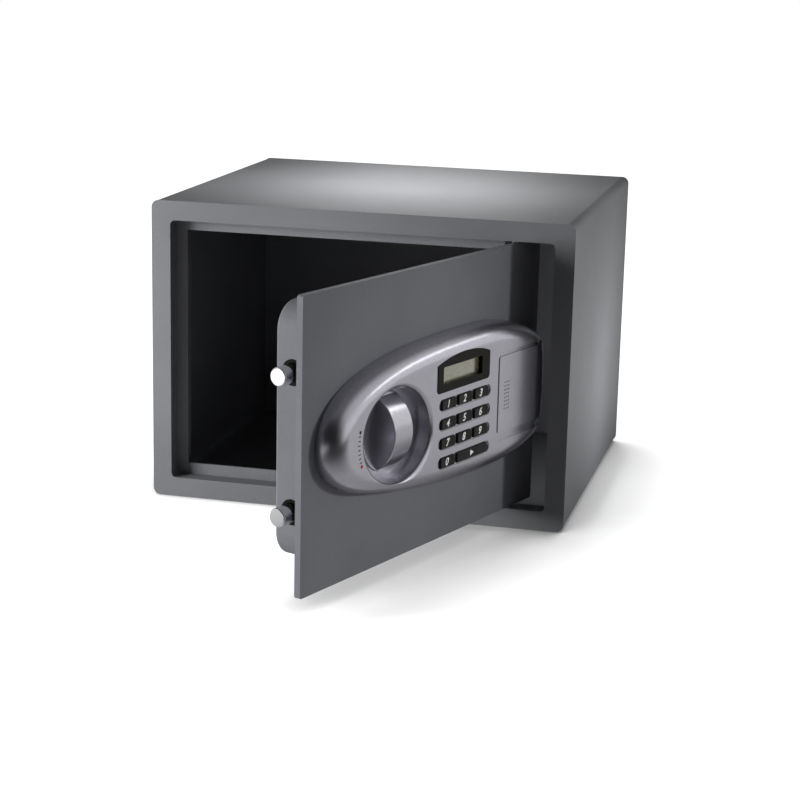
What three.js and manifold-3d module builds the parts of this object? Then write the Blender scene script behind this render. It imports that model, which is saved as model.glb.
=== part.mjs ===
// A small electronic safe: a bent steel cabinet, a plate door on two pins with a boxed back and two
// round bolts, and an egg-shaped plastic panel with a turning knob, a display, eleven keys and a cover.
// Millimetres, +Z up. The origin is the middle of the base, and the door stands open at rest.
import * as THREE from 'three';
import { mergeVertices } from 'three/addons/utils/BufferGeometryUtils.js';
import Module from 'manifold-3d';

const wasm = await Module();
wasm.setup();

// Cabinet
const CABINET_WIDTH = 350;
const CABINET_DEPTH = 300;
const CABINET_HEIGHT = 250;
const WRAP_SHEET = 2;
const BACK_SHEET = 2;
const FRAME_SHEET = 2;
const BEND_RADIUS = 6;
const FRAME_FACE = 16; // width of the frame seen from the front
const FRAME_DEPTH = 15; // from the frame's face to its stop lip
const LIP_WIDTH = 9.5;
const LIP_PAST_PIVOT = 10; // the lip ends here, so that the door's tail can swing past it
const OPENING_CORNER = 4;
const STRIKE_THICKNESS = 4.5;
const STRIKE_END_MARGIN = 14;
const HINGE_BLOCK_WIDTH = 20;
const HINGE_BLOCK_HEIGHT = 8;
const ANCHOR_HOLE = 12;
const ANCHOR_SPACING = 160;

// Door plate and its pins
const CLEARANCE = 0.3; // between pieces that touch on the real door
const DOOR_GAP = 1.5; // between the plate and the opening, all round
const DOOR_RECESS = 1;
const DOOR_OPEN_ANGLE = 70;
const PLATE_THICKNESS = 5;
const PLATE_CORNER = 2;
const PIVOT_INSET = 31; // from the plate's hinge edge
const PIVOT_DEPTH = 4.5; // behind the plate's outer face
const PIN_DIAMETER = 5.5;
const PIN_IN_PLATE = 9;
const PIN_PAST_PLATE = 8.5;

// Boxed back of the door
const PAN_FREE_INSET = 28;
const PAN_HINGE_INSET = 45;
const PAN_END_INSET = 14;
const PAN_BACK_DEPTH = 44; // its back, behind the plate's outer face
const PAN_SHEET = 1.6;
const PAN_CORNER = 20;
const PAN_EDGE_ROUND = 2.5;
const PAN_INNER_ROUND = 0.6;
const POST_DIAMETER = 8;
const POST_INSET = 20;
const SCREW_DIAMETER = 3.6;
const SCREW_HEAD_DIAMETER = 7;
const SCREW_HEAD = 2;
const SCREW_GRIP = 9;

// Boltwork
const BOLT_DIAMETER = 14;
const BOLT_AXIS_DEPTH = 29;
const BOLT_UPPER_INSET = 48.3; // from the boxed back's upper edge to the upper bolt
const BOLT_LOWER_INSET = 37.1;
const BOLT_STANDOUT = 17.2; // of a drawn bolt, out of the boxed back
const BOLT_THROW = 15;
const BOLT_CHAMFER = 1;
const BOLT_TAIL_STEP = 3; // its riveted tail is this much thinner, all round
const RIVET_HEAD = 2;
const BUSH_OUTER = 18.6;
const BUSH_FLANGE = 22;
const BUSH_LENGTH = 5;
const CARRIER_SHEET = 2.5;
const CARRIER_DEPTH = 12; // its near face, behind the plate's outer face
const CARRIER_REACH = 88; // of its web, from the flange towards the hinge
const CARRIER_END_MARGIN = 4;
const CARRIER_FLANGE_GAP = 22.4; // from the boxed back's wall to the flange
const GUIDE_DIAMETER = 8;
const GUIDE_HEAD = 12;
const GUIDE_HEAD_SHEET = 2;
const GUIDE_NECK_STEP = 1;
const GUIDE_INSET = 8.8; // from each bolt's axis towards the other
const GUIDE_OFFSET = 20; // from the knob's axis towards the free edge

// Knob and crank
const KNOB_S = 95; // from the plate's free edge
const KNOB_Z = 102.5; // above the plate's lower edge
const KNOB_SWING = 80;
const KNOB_RADIUS = 29.5;
const KNOB_RIM = 5; // height of its disc in front of the plate
const KNOB_HEIGHT = 21;
const GRIP_WIDTH = 23;
const GRIP_ARCH = 31; // radius of the grip's arched top
const GRIP_ROUND = 1.2;
const GRIP_SINK = 2; // how far the grip starts inside the disc
const KNOB_CHAMFER = 1;
const SHAFT_DIAMETER = 8;
const SHAFT_HEAD = 11;
const CRANK_DISC = 34;
const CRANK_SHEET = 3.4;
const CRANK_PIN = 6;
const CRANK_PIN_PLAY = 0.5; // beside it in the carrier's slot
const CRANK_PIN_PAST_WEB = 3;
const SHAFT_HEAD_SHEET = 1;

// Lock magnet that blocks the carrier
const MAGNET_WIDTH = 26;
const MAGNET_HEIGHT = 20;
const MAGNET_OFFSET = 8; // from the knob's axis towards the hinge
const MAGNET_FLOOR = 4; // under its bore
const MAGNET_SIDE_GAP = 3; // in the carrier's bay
const PLUNGER_DIAMETER = 6;
const PLUNGER_TRAVEL = 4;
const PLUNGER_CHAMFER = 1;
const PLUNGER_COLLAR = 10;
const PLUNGER_COLLAR_SHEET = 1.4;
const PLUNGER_NOSE = 5.2; // from its tip to the collar
const MAGNET_BAY = 14; // from the magnet to the carrier's edge
const SPRING_WIRE = 0.9;
const SPRING_TURNS = 4;
const SPRING_DIAMETER = 8.4;

// Moulded panel
const PANEL_LEFT = 15;
const PANEL_BOTTOM = 46.5;
const PANEL_LENGTH = 288.5;
const PANEL_WIDTH = 116.5;
const PANEL_HEIGHT = 20; // of its flat face in front of the plate
const PANEL_FOOT = 2; // upright part of its rim
const PANEL_BORDER = 15; // of its rounded rim, seen from the front
const PANEL_WALL = 2.5;
const BOSS_DIAMETER = 8;
const PANEL_SCREW_GRIP = 10;
const PANEL_SCREW_PLACES = [[50, 139], [218, 153], [50, 72], [218, 55]]; // from the lower free corner

// Oval well round the knob
const WELL_S = 90;
const WELL_Z = 102.5;
const WELL_LONG = 43;
const WELL_SHORT = 35;
const WELL_TILT = -13;
const WELL_FLARE = 4;
const WELL_FLARE_DEPTH = 3;
const WELL_FLOOR = 3;
const WELL_DRAFT = 1; // how much smaller its oval is at the floor

// Display
const BEZEL_LEFT = 138.5;
const BEZEL_BOTTOM = 123.5;
const BEZEL_WIDTH = 72;
const BEZEL_SIDE = 20.8; // height of its upright sides
const BEZEL_RISE = 5.6; // of its arched top
const BEZEL_CORNER = 3;
const BEZEL_THICKNESS = 3;
const BEZEL_PROUD = 0.5;
const GLASS_LEFT_MARGIN = 7.5;
const GLASS_BOTTOM_MARGIN = 5.4;
const GLASS_WIDTH = 53.5;
const GLASS_HEIGHT = 13.5;
const GLASS_THICKNESS = 1.2;
const GLASS_LAP = 2; // behind the bezel, all round
const GLASS_CORNER = 0.8;

// Keys
const KEY_WIDTH = 19.4;
const KEY_HEIGHT = 7.8;
const KEY_GAP = 3.2;
const KEY_CORNER = 1.2;
const KEY_TRAVEL = 1;
const KEY_PROUD = 0.6;
const KEY_DISH = 0.5;
const KEY_DISH_RADIUS = 60;
const KEY_FLANGE = 0.6; // wider than the cap, all round
const KEY_FLANGE_THICKNESS = 1.8;
const KEY_SLOT_LEFT = 141.5;
const KEY_SLOT_LENGTH = 72;
const KEY_SLOT_HEIGHT = 9.8;
const KEY_SLOT_DEPTH = 1;
const KEY_ROW_PITCH = 14.8;
const KEY_TOP_ROW_Z = 113.5;
const MAT_THICKNESS = 1.7;
const MAT_LAP = 2; // past the rows of keys, all round
const BOARD_THICKNESS = 1.6;
const BOARD_MARGIN = 4;

// Cover over the emergency lock
const COVER_LEFT = 226;
const COVER_BOTTOM = 76;
const COVER_HEIGHT = 60;
const COVER_THICKNESS = 1.2;
const COVER_TRAVEL = 10;
const COVER_CORNER = 2;
const HOOK_S = 268; // the cover's hooks slide in slots and lift out at the end of their travel
const HOOK_SPREAD = 40;
const HOOK_LENGTH = 6;
const HOOK_TOE = 3;
const HOOK_WIDTH = 2;
const HOOK_REACH = 4; // below the cover
const CHANNEL_STEP = 1.5; // how far the cover's channel is sunk
const CHANNEL_ABOVE = 3.3; // how much wider the channel is than the cover
const CHANNEL_BELOW = 7;
const CHANNEL_BESIDE = 2;
const CHANNEL_CORNER = 6;
const SPEAKER_S = 237.5;
const SPEAKER_Z = 104.5;
const SPEAKER_DIAMETER = 17;
const SPEAKER_THICKNESS = 5;
const SPEAKER_HOLE = 1;
const SPEAKER_HOLE_PITCH = 3;
const SPEAKER_ROWS = 8;
const SPEAKER_COLUMNS = 3;

// Emergency lock
const LOCK_S = 254;
const LOCK_Z = 88;
const LOCK_DIAMETER = 19;
const LOCK_PLUG_DIAMETER = 12;
const LOCK_BARREL_END = 12; // its tail, behind the plate's outer face
const LOCK_CAM_LENGTH = 24;
const LOCK_CAM_WIDTH = 12;
const LOCK_CAM_SHEET = 2;
const LOCK_TAIL_STEP = 2; // the plug's neck in the cam is this much thinner, all round
const LOCK_TAIL_HEAD = 1.5;
const KEYWAY_WIDTH = 1.8;
const KEYWAY_LENGTH = 8;

// Batteries
const CELL_DIAMETER = 14.2;
const CELL_LENGTH = 50;
const CELL_COUNT = 4;
const CELL_CAP_DIAMETER = 5.5;
const CELL_CAP = 1.2;
const CELL_EDGE = 0.5;
const BATTERY_BOX_WALL = 1.5;
const BATTERY_BOX_INSET = 19.6; // from the boxed back's hinge edge
const BATTERY_BOX_Z = 106; // its middle
const LID_THICKNESS = 2;
const LID_LAP = 4;
const LID_CORNER = 3;
const LID_RIBS = 4;
const LID_RIB_PITCH = 3;
const LID_RIB_WIDTH = 1.2;
const LID_RIB_LENGTH = 20;
const LID_RIB_HEIGHT = 0.8;
const CABLE_DIAMETER = 3;
const CABLE_HOLE = 10;
const CABLE_RUN = 25; // how far it leaves the board before it turns
const CABLE_DROP = 14; // of its end above the battery box

// Worked out from the sizes above
const openingWidth = CABINET_WIDTH - 2 * FRAME_FACE;
const openingHeight = CABINET_HEIGHT - 2 * FRAME_FACE;
const plateWidth = openingWidth - 2 * DOOR_GAP;
const plateHeight = openingHeight - 2 * DOOR_GAP;
const frontY = -CABINET_DEPTH / 2;
const backY = CABINET_DEPTH / 2;
const lipY = frontY + FRAME_DEPTH;
const pivotX = openingWidth / 2 - DOOR_GAP - PIVOT_INSET;
const pivotY = frontY + DOOR_RECESS + PIVOT_DEPTH;
const plateBottomZ = FRAME_FACE + DOOR_GAP;
const panLeft = PAN_FREE_INSET;
const panRight = plateWidth - PAN_HINGE_INSET;
const panFront = PLATE_THICKNESS + CLEARANCE;
const panInside = PAN_BACK_DEPTH - PAN_SHEET;
const flangeS = panLeft + PAN_SHEET + CARRIER_FLANGE_GAP;
const boltEndS = panLeft - BOLT_STANDOUT;
const boltLevels = {
  upper: plateHeight - PAN_END_INSET - BOLT_UPPER_INSET,
  lower: PAN_END_INSET + BOLT_LOWER_INSET,
};
const crankRadius = BOLT_THROW / 2 / Math.sin(THREE.MathUtils.degToRad(KNOB_SWING / 2));
const crankRestAngle = THREE.MathUtils.degToRad(90 - KNOB_SWING / 2);
const crankPinS = KNOB_S + crankRadius * Math.cos(crankRestAngle);
const crankPinZ = KNOB_Z + crankRadius * Math.sin(crankRestAngle);
const carrierTop = boltLevels.upper + BOLT_DIAMETER / 2 + CARRIER_END_MARGIN;
const carrierBottom = boltLevels.lower - BOLT_DIAMETER / 2 - CARRIER_END_MARGIN;
const webBack = CARRIER_DEPTH + CARRIER_SHEET;
const magnetS = KNOB_S + MAGNET_OFFSET;
const magnetBottom = PAN_END_INSET + PAN_SHEET + CLEARANCE;
const magnetTop = magnetBottom + MAGNET_HEIGHT;
const plungerDepth = CARRIER_DEPTH + CARRIER_SHEET / 2;
const webEdge = magnetTop + MAGNET_BAY;
const plungerTip = webEdge - 2 * CLEARANCE;
const collarTop = plungerTip - PLUNGER_NOSE;
const collarSeat = collarTop - PLUNGER_COLLAR_SHEET;
const keyPitch = KEY_WIDTH + KEY_GAP;
const keyFloor = PANEL_HEIGHT - PANEL_WALL - CLEARANCE - KEY_FLANGE_THICKNESS;
const matTop = keyFloor - KEY_TRAVEL - CLEARANCE / 2;
const boardTop = matTop - MAT_THICKNESS - CLEARANCE;
const boardBottom = boardTop - BOARD_THICKNESS;
const bezelFront = PANEL_HEIGHT + BEZEL_PROUD;
const bezelBack = bezelFront - BEZEL_THICKNESS;
const glassLeft = BEZEL_LEFT + GLASS_LEFT_MARGIN;
const glassBottom = BEZEL_BOTTOM + GLASS_BOTTOM_MARGIN;
const glassBack = bezelBack - CLEARANCE - GLASS_THICKNESS;
const channelFloor = PANEL_HEIGHT - CHANNEL_STEP;
const coverRight = PANEL_LEFT + PANEL_LENGTH;
const lockFront = channelFloor - CLEARANCE;
const boxLength = CELL_LENGTH + CELL_CAP + 2 * BATTERY_BOX_WALL + 4 * CLEARANCE;
const boxLeft = panRight - BATTERY_BOX_INSET - boxLength;
const cellPitch = CELL_DIAMETER + CLEARANCE;
const boxHeight = CELL_COUNT * cellPitch + CLEARANCE + 2 * BATTERY_BOX_WALL;
const boxBack = panInside - CLEARANCE;
const boxFront = boxBack - CELL_DIAMETER - 2 * CLEARANCE - BATTERY_BOX_WALL;

// Turns a closed geometry into a solid that can be joined and cut.
function solid(geometry) {
  geometry.deleteAttribute('normal');
  geometry.deleteAttribute('uv');
  const merged = mergeVertices(geometry, 1e-4);
  const corners = merged.index.array;
  const triangles = [];
  for (let i = 0; i < corners.length; i += 3) {
    const [a, b, c] = [corners[i], corners[i + 1], corners[i + 2]];
    if (a !== b && b !== c && c !== a) triangles.push(a, b, c);
  }
  return new wasm.Manifold(new wasm.Mesh({
    numProp: 3,
    vertProperties: merged.attributes.position.array,
    triVerts: new Uint32Array(triangles),
  }));
}

// A rectangle with round corners, as a shape or, with a Path, as a hole.
function roundedRectangle(left, bottom, right, top, radius, Outline = THREE.Shape) {
  const outline = new Outline();
  outline.moveTo(left + radius, bottom);
  outline.lineTo(right - radius, bottom);
  outline.absarc(right - radius, bottom + radius, radius, -Math.PI / 2, 0);
  outline.lineTo(right, top - radius);
  outline.absarc(right - radius, top - radius, radius, 0, Math.PI / 2);
  outline.lineTo(left + radius, top);
  outline.absarc(left + radius, top - radius, radius, Math.PI / 2, Math.PI);
  outline.lineTo(left, bottom + radius);
  outline.absarc(left + radius, bottom + radius, radius, Math.PI, 1.5 * Math.PI);
  return outline;
}

function circlePath(x, y, radius) {
  const path = new THREE.Path();
  for (let quarter = 0; quarter < 4; quarter++) {
    path.absarc(x, y, radius, quarter * Math.PI / 2, (quarter + 1) * Math.PI / 2);
  }
  return path;
}

// An outline drawn from the front, pushed from one depth to another. Depth grows towards the back.
function prism(outline, from, to, curveSegments = 2) {
  const depth = to - from;
  const geometry = new THREE.ExtrudeGeometry(outline, { depth, bevelEnabled: false, curveSegments });
  return solid(geometry.rotateX(Math.PI / 2).translate(0, to, 0));
}

function block(x0, y0, z0, x1, y1, z1) {
  const geometry = new THREE.BoxGeometry(x1 - x0, y1 - y0, z1 - z0);
  return solid(geometry.translate((x0 + x1) / 2, (y0 + y1) / 2, (z0 + z1) / 2));
}

// A profile of [radius, place] points turned round an axis along the depth, the width or the height.
function turned(profile, axis, x, y, z, segments = 20) {
  const points = profile.map(([radius, place]) => new THREE.Vector2(radius, place));
  const geometry = new THREE.LatheGeometry(points, segments);
  if (axis === 's') geometry.rotateZ(-Math.PI / 2);
  if (axis === 'z') geometry.rotateX(Math.PI / 2);
  return solid(geometry.translate(x, y, z));
}

// A round bar or, as a cutter, a round hole along the depth.
function pillar(s, z, radius, from, to, segments = 20) {
  return turned([[0, from], [radius, from], [radius, to], [0, to]], 'depth', s, 0, z, segments);
}

// The points of a closed outline, each one once.
function pointsOf(outline, divisions) {
  const points = outline.getPoints(divisions);
  return points.filter((point, i) => point.distanceTo(points[(i + 1) % points.length]) > 1e-6);
}

// Joins a stack of closed rings, each with as many points, into one closed skin with flat ends.
function loft(rings) {
  const count = rings[0].length;
  const index = [];
  for (let level = 0; level < rings.length - 1; level++) {
    for (let i = 0; i < count; i++) {
      const a = level * count + i;
      const b = level * count + ((i + 1) % count);
      index.push(a, b, b + count, a, b + count, a + count);
    }
  }
  const capOf = (ring) => THREE.ShapeUtils.triangulateShape(ring.map((p) => new THREE.Vector2(p.x, p.z)), []);
  const lastRing = (rings.length - 1) * count;
  for (const [a, b, c] of capOf(rings[0])) index.push(a, c, b);
  for (const [a, b, c] of capOf(rings.at(-1))) index.push(lastRing + a, lastRing + b, lastRing + c);
  const geometry = new THREE.BufferGeometry().setFromPoints(rings.flat());
  geometry.setIndex(index);
  return solid(geometry);
}

const model = new THREE.Group();
const door = new THREE.Group();
door.position.set(pivotX, pivotY, plateBottomZ);
door.rotation.z = THREE.MathUtils.degToRad(DOOR_OPEN_ANGLE);
model.add(door);

// Door pieces are drawn from the plate's lower free corner: x towards the hinge, y from the outer
// face towards the back, z up. Heights in front of the outer face are negative depths.
const doorPieces = new THREE.Group();
doorPieces.position.set(PIVOT_INSET - plateWidth, -PIVOT_DEPTH, 0);
door.add(doorPieces);

function material(color, roughness, metalness = 0) {
  return new THREE.MeshStandardMaterial({ color, roughness, metalness });
}

const finish = {
  bodyPaint: material(0x6a6b6c, 0.45, 0.3),
  doorPaint: material(0x616166, 0.5, 0.3),
  panPaint: material(0x4a4b4d, 0.55, 0.2),
  zinc: material(0xb4b6b8, 0.35, 0.9),
  chrome: material(0xd9dadc, 0.12, 1),
  silverPlastic: material(0xa9a8b0, 0.32, 0.5),
  darkPlastic: material(0x22211c, 0.4),
  clearWindow: material(0x9a978a, 0.05),
  lcd: material(0x8e8b78, 0.3),
  board: material(0x2f5d3a, 0.6),
  rubber: material(0x303030, 0.8),
  key: material(0x3a3a38, 0.45),
  brass: material(0xb8964a, 0.35, 0.9),
  cell: material(0x3b5b8c, 0.4, 0.3),
};

function add(parent, name, shape, finishOf) {
  const { vertProperties, triVerts } = shape.getMesh();
  const geometry = new THREE.BufferGeometry();
  geometry.setAttribute('position', new THREE.BufferAttribute(vertProperties, 3));
  geometry.setIndex(new THREE.BufferAttribute(triVerts, 1));
  geometry.computeVertexNormals();
  const mesh = new THREE.Mesh(geometry, finishOf);
  mesh.name = name;
  parent.add(mesh);
}

// The wrap is one sheet bent round its four long edges.
function outerShell() {
  const half = CABINET_WIDTH / 2;
  const outline = roundedRectangle(-half, 0, half, CABINET_HEIGHT, BEND_RADIUS);
  outline.holes.push(roundedRectangle(WRAP_SHEET - half, WRAP_SHEET, half - WRAP_SHEET,
    CABINET_HEIGHT - WRAP_SHEET, BEND_RADIUS - WRAP_SHEET, THREE.Path));
  let shell = prism(outline, frontY + FRAME_SHEET, backY - BACK_SHEET);
  for (const side of [-1, 1]) {
    const hole = new THREE.CylinderGeometry(ANCHOR_HOLE / 2, ANCHOR_HOLE / 2, 4 * WRAP_SHEET, 20);
    shell = shell.subtract(solid(hole.rotateX(Math.PI / 2).translate(side * ANCHOR_SPACING / 2, 0, 0)));
  }
  return shell;
}

function backPanel() {
  const half = CABINET_WIDTH / 2;
  const outline = roundedRectangle(-half, 0, half, CABINET_HEIGHT, BEND_RADIUS);
  for (const side of [-1, 1]) {
    outline.holes.push(circlePath(side * ANCHOR_SPACING / 2, CABINET_HEIGHT / 2, ANCHOR_HOLE / 2));
  }
  return prism(outline, backY - BACK_SHEET, backY);
}

// Face, walls turned inwards round the opening, and a stop lip on three sides. The lip leaves the
// hinge side free, because the door's tail turns into the cabinet there.
function frontFrame() {
  const half = CABINET_WIDTH / 2;
  const left = -openingWidth / 2;
  const bottom = FRAME_FACE;
  const top = CABINET_HEIGHT - FRAME_FACE;
  const opening = (grow, Outline) => roundedRectangle(left - grow, bottom - grow, -left + grow, top + grow,
    OPENING_CORNER + grow, Outline);
  const face = roundedRectangle(-half, 0, half, CABINET_HEIGHT, BEND_RADIUS);
  face.holes.push(opening(0, THREE.Path));
  const walls = opening(FRAME_SHEET, THREE.Shape);
  walls.holes.push(opening(0, THREE.Path));
  const lipEnd = pivotX - LIP_PAST_PIVOT;
  const lip = new THREE.Shape([
    [left - FRAME_SHEET / 2, bottom - FRAME_SHEET / 2], [lipEnd, bottom - FRAME_SHEET / 2],
    [lipEnd, bottom + LIP_WIDTH], [left + LIP_WIDTH, bottom + LIP_WIDTH],
    [left + LIP_WIDTH, top - LIP_WIDTH], [lipEnd, top - LIP_WIDTH],
    [lipEnd, top + FRAME_SHEET / 2], [left - FRAME_SHEET / 2, top + FRAME_SHEET / 2],
  ].map(([x, z]) => new THREE.Vector2(x, z)));
  const pinHole = PIN_DIAMETER / 2 + CLEARANCE;
  return prism(face, frontY, frontY + FRAME_SHEET)
    .add(prism(walls, frontY + FRAME_SHEET / 2, lipY + FRAME_SHEET))
    .add(prism(lip, lipY, lipY + FRAME_SHEET))
    .subtract(turned([[0, 0], [pinHole, 0], [pinHole, CABINET_HEIGHT], [0, CABINET_HEIGHT]],
      'z', pivotX, pivotY, 0));
}

function hingeBlock(seatZ, upwards) {
  const low = upwards ? seatZ : seatZ - HINGE_BLOCK_HEIGHT;
  const pinHole = PIN_DIAMETER / 2 + CLEARANCE;
  return block(pivotX - HINGE_BLOCK_WIDTH / 2, frontY + FRAME_SHEET, low,
    pivotX + HINGE_BLOCK_WIDTH / 2, lipY + FRAME_SHEET, low + HINGE_BLOCK_HEIGHT)
    .subtract(turned([[0, -1], [pinHole, -1], [pinHole, HINGE_BLOCK_HEIGHT + 1], [0, HINGE_BLOCK_HEIGHT + 1]],
      'z', pivotX, pivotY, low));
}

function strikeBar() {
  const left = -openingWidth / 2 - FRAME_SHEET;
  const end = FRAME_FACE + STRIKE_END_MARGIN;
  const back = lipY + FRAME_SHEET;
  return block(left, back, end, left + FRAME_SHEET + LIP_WIDTH, back + STRIKE_THICKNESS,
    CABINET_HEIGHT - end);
}

const postPlaces = [PAN_END_INSET + POST_INSET, plateHeight - PAN_END_INSET - POST_INSET]
  .flatMap((z) => [[panLeft + POST_INSET, z], [panRight - POST_INSET, z]]);
const cableS = BEZEL_LEFT + BEZEL_WIDTH - CABLE_HOLE;
const cableZ = BEZEL_BOTTOM + CABLE_HOLE;

// The plate carries four welded posts, which the boxed back is screwed to, and a notch for each pin.
function doorPlate() {
  const outline = roundedRectangle(0, 0, plateWidth, plateHeight, PLATE_CORNER);
  const holes = [
    [KNOB_S, KNOB_Z, SHAFT_DIAMETER / 2 + CLEARANCE],
    [LOCK_S, LOCK_Z, LOCK_DIAMETER / 2 + CLEARANCE],
    [cableS, cableZ, CABLE_HOLE / 2],
  ];
  for (const [s, z, radius] of holes) outline.holes.push(circlePath(s, z, radius));
  let plate = prism(outline, 0, PLATE_THICKNESS);
  for (const [s, z] of PANEL_SCREW_PLACES) {
    plate = plate.subtract(pillar(s, z, SCREW_DIAMETER / 2 + CLEARANCE, -1, PLATE_THICKNESS + 1, 10));
  }
  for (const [s, z] of postPlaces) {
    plate = plate.add(pillar(s, z, POST_DIAMETER / 2, PLATE_THICKNESS / 2, panInside - CLEARANCE, 12))
      .subtract(pillar(s, z, SCREW_DIAMETER / 2 + CLEARANCE, panInside - SCREW_GRIP - 1, PAN_BACK_DEPTH, 10));
  }
  const pivotS = plateWidth - PIVOT_INSET;
  const notch = PIN_DIAMETER / 2 + CLEARANCE;
  for (const z of [0, plateHeight]) {
    plate = plate.subtract(block(pivotS - notch, -1, z - PIN_IN_PLATE - CLEARANCE,
      pivotS + notch, PLATE_THICKNESS + 1, z + PIN_IN_PLATE + CLEARANCE));
  }
  return plate;
}

function hingePin(upwards) {
  const radius = PIN_DIAMETER / 2;
  const length = PIN_IN_PLATE + PIN_PAST_PLATE;
  const inner = upwards ? plateHeight - PIN_IN_PLATE : PIN_IN_PLATE - length;
  return turned([[0, 0], [radius, 0], [radius, length], [0, length]], 'z',
    plateWidth - PIVOT_INSET, PIVOT_DEPTH, inner);
}

// A pressed tray, open towards the plate, with a window for the battery box.
function doorPan() {
  const outline = (inset) => roundedRectangle(panLeft + inset, PAN_END_INSET + inset, panRight - inset,
    plateHeight - PAN_END_INSET - inset, PAN_CORNER - inset);
  const ring = (inset, depth) => pointsOf(outline(inset), 3).map((p) => new THREE.Vector3(p.x, depth, p.y));
  const steps = [0, 30, 60, 90].map(THREE.MathUtils.degToRad);
  const outer = loft([
    ...steps.map((angle) => ring(PAN_EDGE_ROUND * (1 - Math.cos(angle)),
      PAN_BACK_DEPTH - PAN_EDGE_ROUND * (1 - Math.sin(angle)))).reverse(),
    ring(0, panFront),
  ]);
  const inner = loft([
    ring(PAN_SHEET + PAN_INNER_ROUND, panInside),
    ring(PAN_SHEET, panInside - PAN_EDGE_ROUND / 2),
    ring(PAN_SHEET, 0),
  ]);
  let pan = outer.subtract(inner);
  for (const level of Object.values(boltLevels)) {
    const radius = BUSH_OUTER / 2 + CLEARANCE;
    const hole = [[0, -PAN_SHEET], [radius, -PAN_SHEET], [radius, 2 * PAN_SHEET], [0, 2 * PAN_SHEET]];
    pan = pan.subtract(turned(hole, 's', panLeft, BOLT_AXIS_DEPTH, level));
  }
  for (const [s, z] of postPlaces) {
    pan = pan.subtract(pillar(s, z, SCREW_DIAMETER / 2 + CLEARANCE, panInside - 1, PAN_BACK_DEPTH + 1, 10));
  }
  return pan.subtract(block(boxLeft + BATTERY_BOX_WALL, panInside - 1,
    BATTERY_BOX_Z - boxHeight / 2 + BATTERY_BOX_WALL, boxLeft + boxLength - BATTERY_BOX_WALL,
    PAN_BACK_DEPTH + 1, BATTERY_BOX_Z + boxHeight / 2 - BATTERY_BOX_WALL));
}

function boltBush(level) {
  const bore = BOLT_DIAMETER / 2 + CLEARANCE;
  const seat = PAN_SHEET + CLEARANCE;
  return turned([
    [bore, -CLEARANCE], [BUSH_OUTER / 2, -CLEARANCE], [BUSH_OUTER / 2, seat], [BUSH_FLANGE / 2, seat],
    [BUSH_FLANGE / 2, seat + BUSH_LENGTH / 3], [bore + BOLT_CHAMFER, BUSH_LENGTH], [bore, BUSH_LENGTH],
    [bore, -CLEARANCE],
  ], 's', panLeft, BOLT_AXIS_DEPTH, level);
}

// A bolt is turned with a chamfered nose and a thin tail, which is riveted through the carrier.
function bolt(level) {
  const radius = BOLT_DIAMETER / 2;
  const tail = radius - BOLT_TAIL_STEP;
  const seat = flangeS - CLEARANCE;
  const rivet = flangeS + CARRIER_SHEET + CLEARANCE;
  return turned([
    [0, boltEndS], [radius - BOLT_CHAMFER, boltEndS], [radius, boltEndS + BOLT_CHAMFER], [radius, seat],
    [tail, seat], [tail, rivet], [tail + RIVET_HEAD, rivet], [tail + RIVET_HEAD / 2, rivet + RIVET_HEAD],
    [0, rivet + RIVET_HEAD],
  ], 's', 0, BOLT_AXIS_DEPTH, level, 24);
}

const guidePlaces = [boltLevels.lower + GUIDE_INSET, boltLevels.upper - GUIDE_INSET]
  .map((level) => [KNOB_S - GUIDE_OFFSET, level]);

// The carrier is an angle: its flange holds the bolts, its web is driven by the crank, runs on the
// guides and is stopped by the magnet's plunger in one of two notches a throw apart.
function boltCarrier() {
  const section = new THREE.Shape([
    [flangeS, CARRIER_DEPTH], [flangeS + CARRIER_REACH, CARRIER_DEPTH], [flangeS + CARRIER_REACH, webBack],
    [flangeS + CARRIER_SHEET, webBack], [flangeS + CARRIER_SHEET, BOLT_AXIS_DEPTH + BOLT_DIAMETER / 2],
    [flangeS, BOLT_AXIS_DEPTH + BOLT_DIAMETER / 2],
  ].map(([s, depth]) => new THREE.Vector2(s, depth)));
  const height = carrierTop - carrierBottom;
  const angle = new THREE.ExtrudeGeometry(section, { depth: height, bevelEnabled: false });
  let carrier = solid(angle.translate(0, 0, carrierBottom));
  const tail = BOLT_DIAMETER / 2 - BOLT_TAIL_STEP + CLEARANCE;
  for (const level of Object.values(boltLevels)) {
    const hole = [[0, -1], [tail, -1], [tail, CARRIER_SHEET + 1], [0, CARRIER_SHEET + 1]];
    carrier = carrier.subtract(turned(hole, 's', flangeS, BOLT_AXIS_DEPTH, level));
  }
  const cut = (left, bottom, right, top, radius) => {
    carrier = carrier.subtract(prism(roundedRectangle(left, bottom, right, top, radius),
      CARRIER_DEPTH - 1, webBack + 1, 2));
  };
  const pinSlot = CRANK_PIN / 2 + CRANK_PIN_PLAY;
  cut(crankPinS - pinSlot, crankPinZ - pinSlot - 4 * CRANK_PIN_PLAY,
    crankPinS + pinSlot, KNOB_Z + crankRadius + pinSlot + 2 * CRANK_PIN_PLAY, pinSlot / 2);
  const guideSlot = GUIDE_DIAMETER / 2 - GUIDE_NECK_STEP + CLEARANCE;
  for (const [s, z] of guidePlaces) {
    cut(s - guideSlot - CLEARANCE, z - guideSlot, s + BOLT_THROW + guideSlot + CLEARANCE, z + guideSlot,
      guideSlot / 2);
  }
  const bayLeft = magnetS - MAGNET_WIDTH / 2 - MAGNET_SIDE_GAP;
  cut(bayLeft, carrierBottom - 1, flangeS + CARRIER_REACH + 1, webEdge, CLEARANCE);
  for (const shift of [0, BOLT_THROW]) {
    const notch = PLUNGER_DIAMETER / 2 + 2 * CLEARANCE;
    cut(magnetS + shift - notch, carrierBottom, magnetS + shift + notch, webEdge + PLUNGER_TRAVEL, CLEARANCE);
  }
  return carrier;
}

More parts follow.
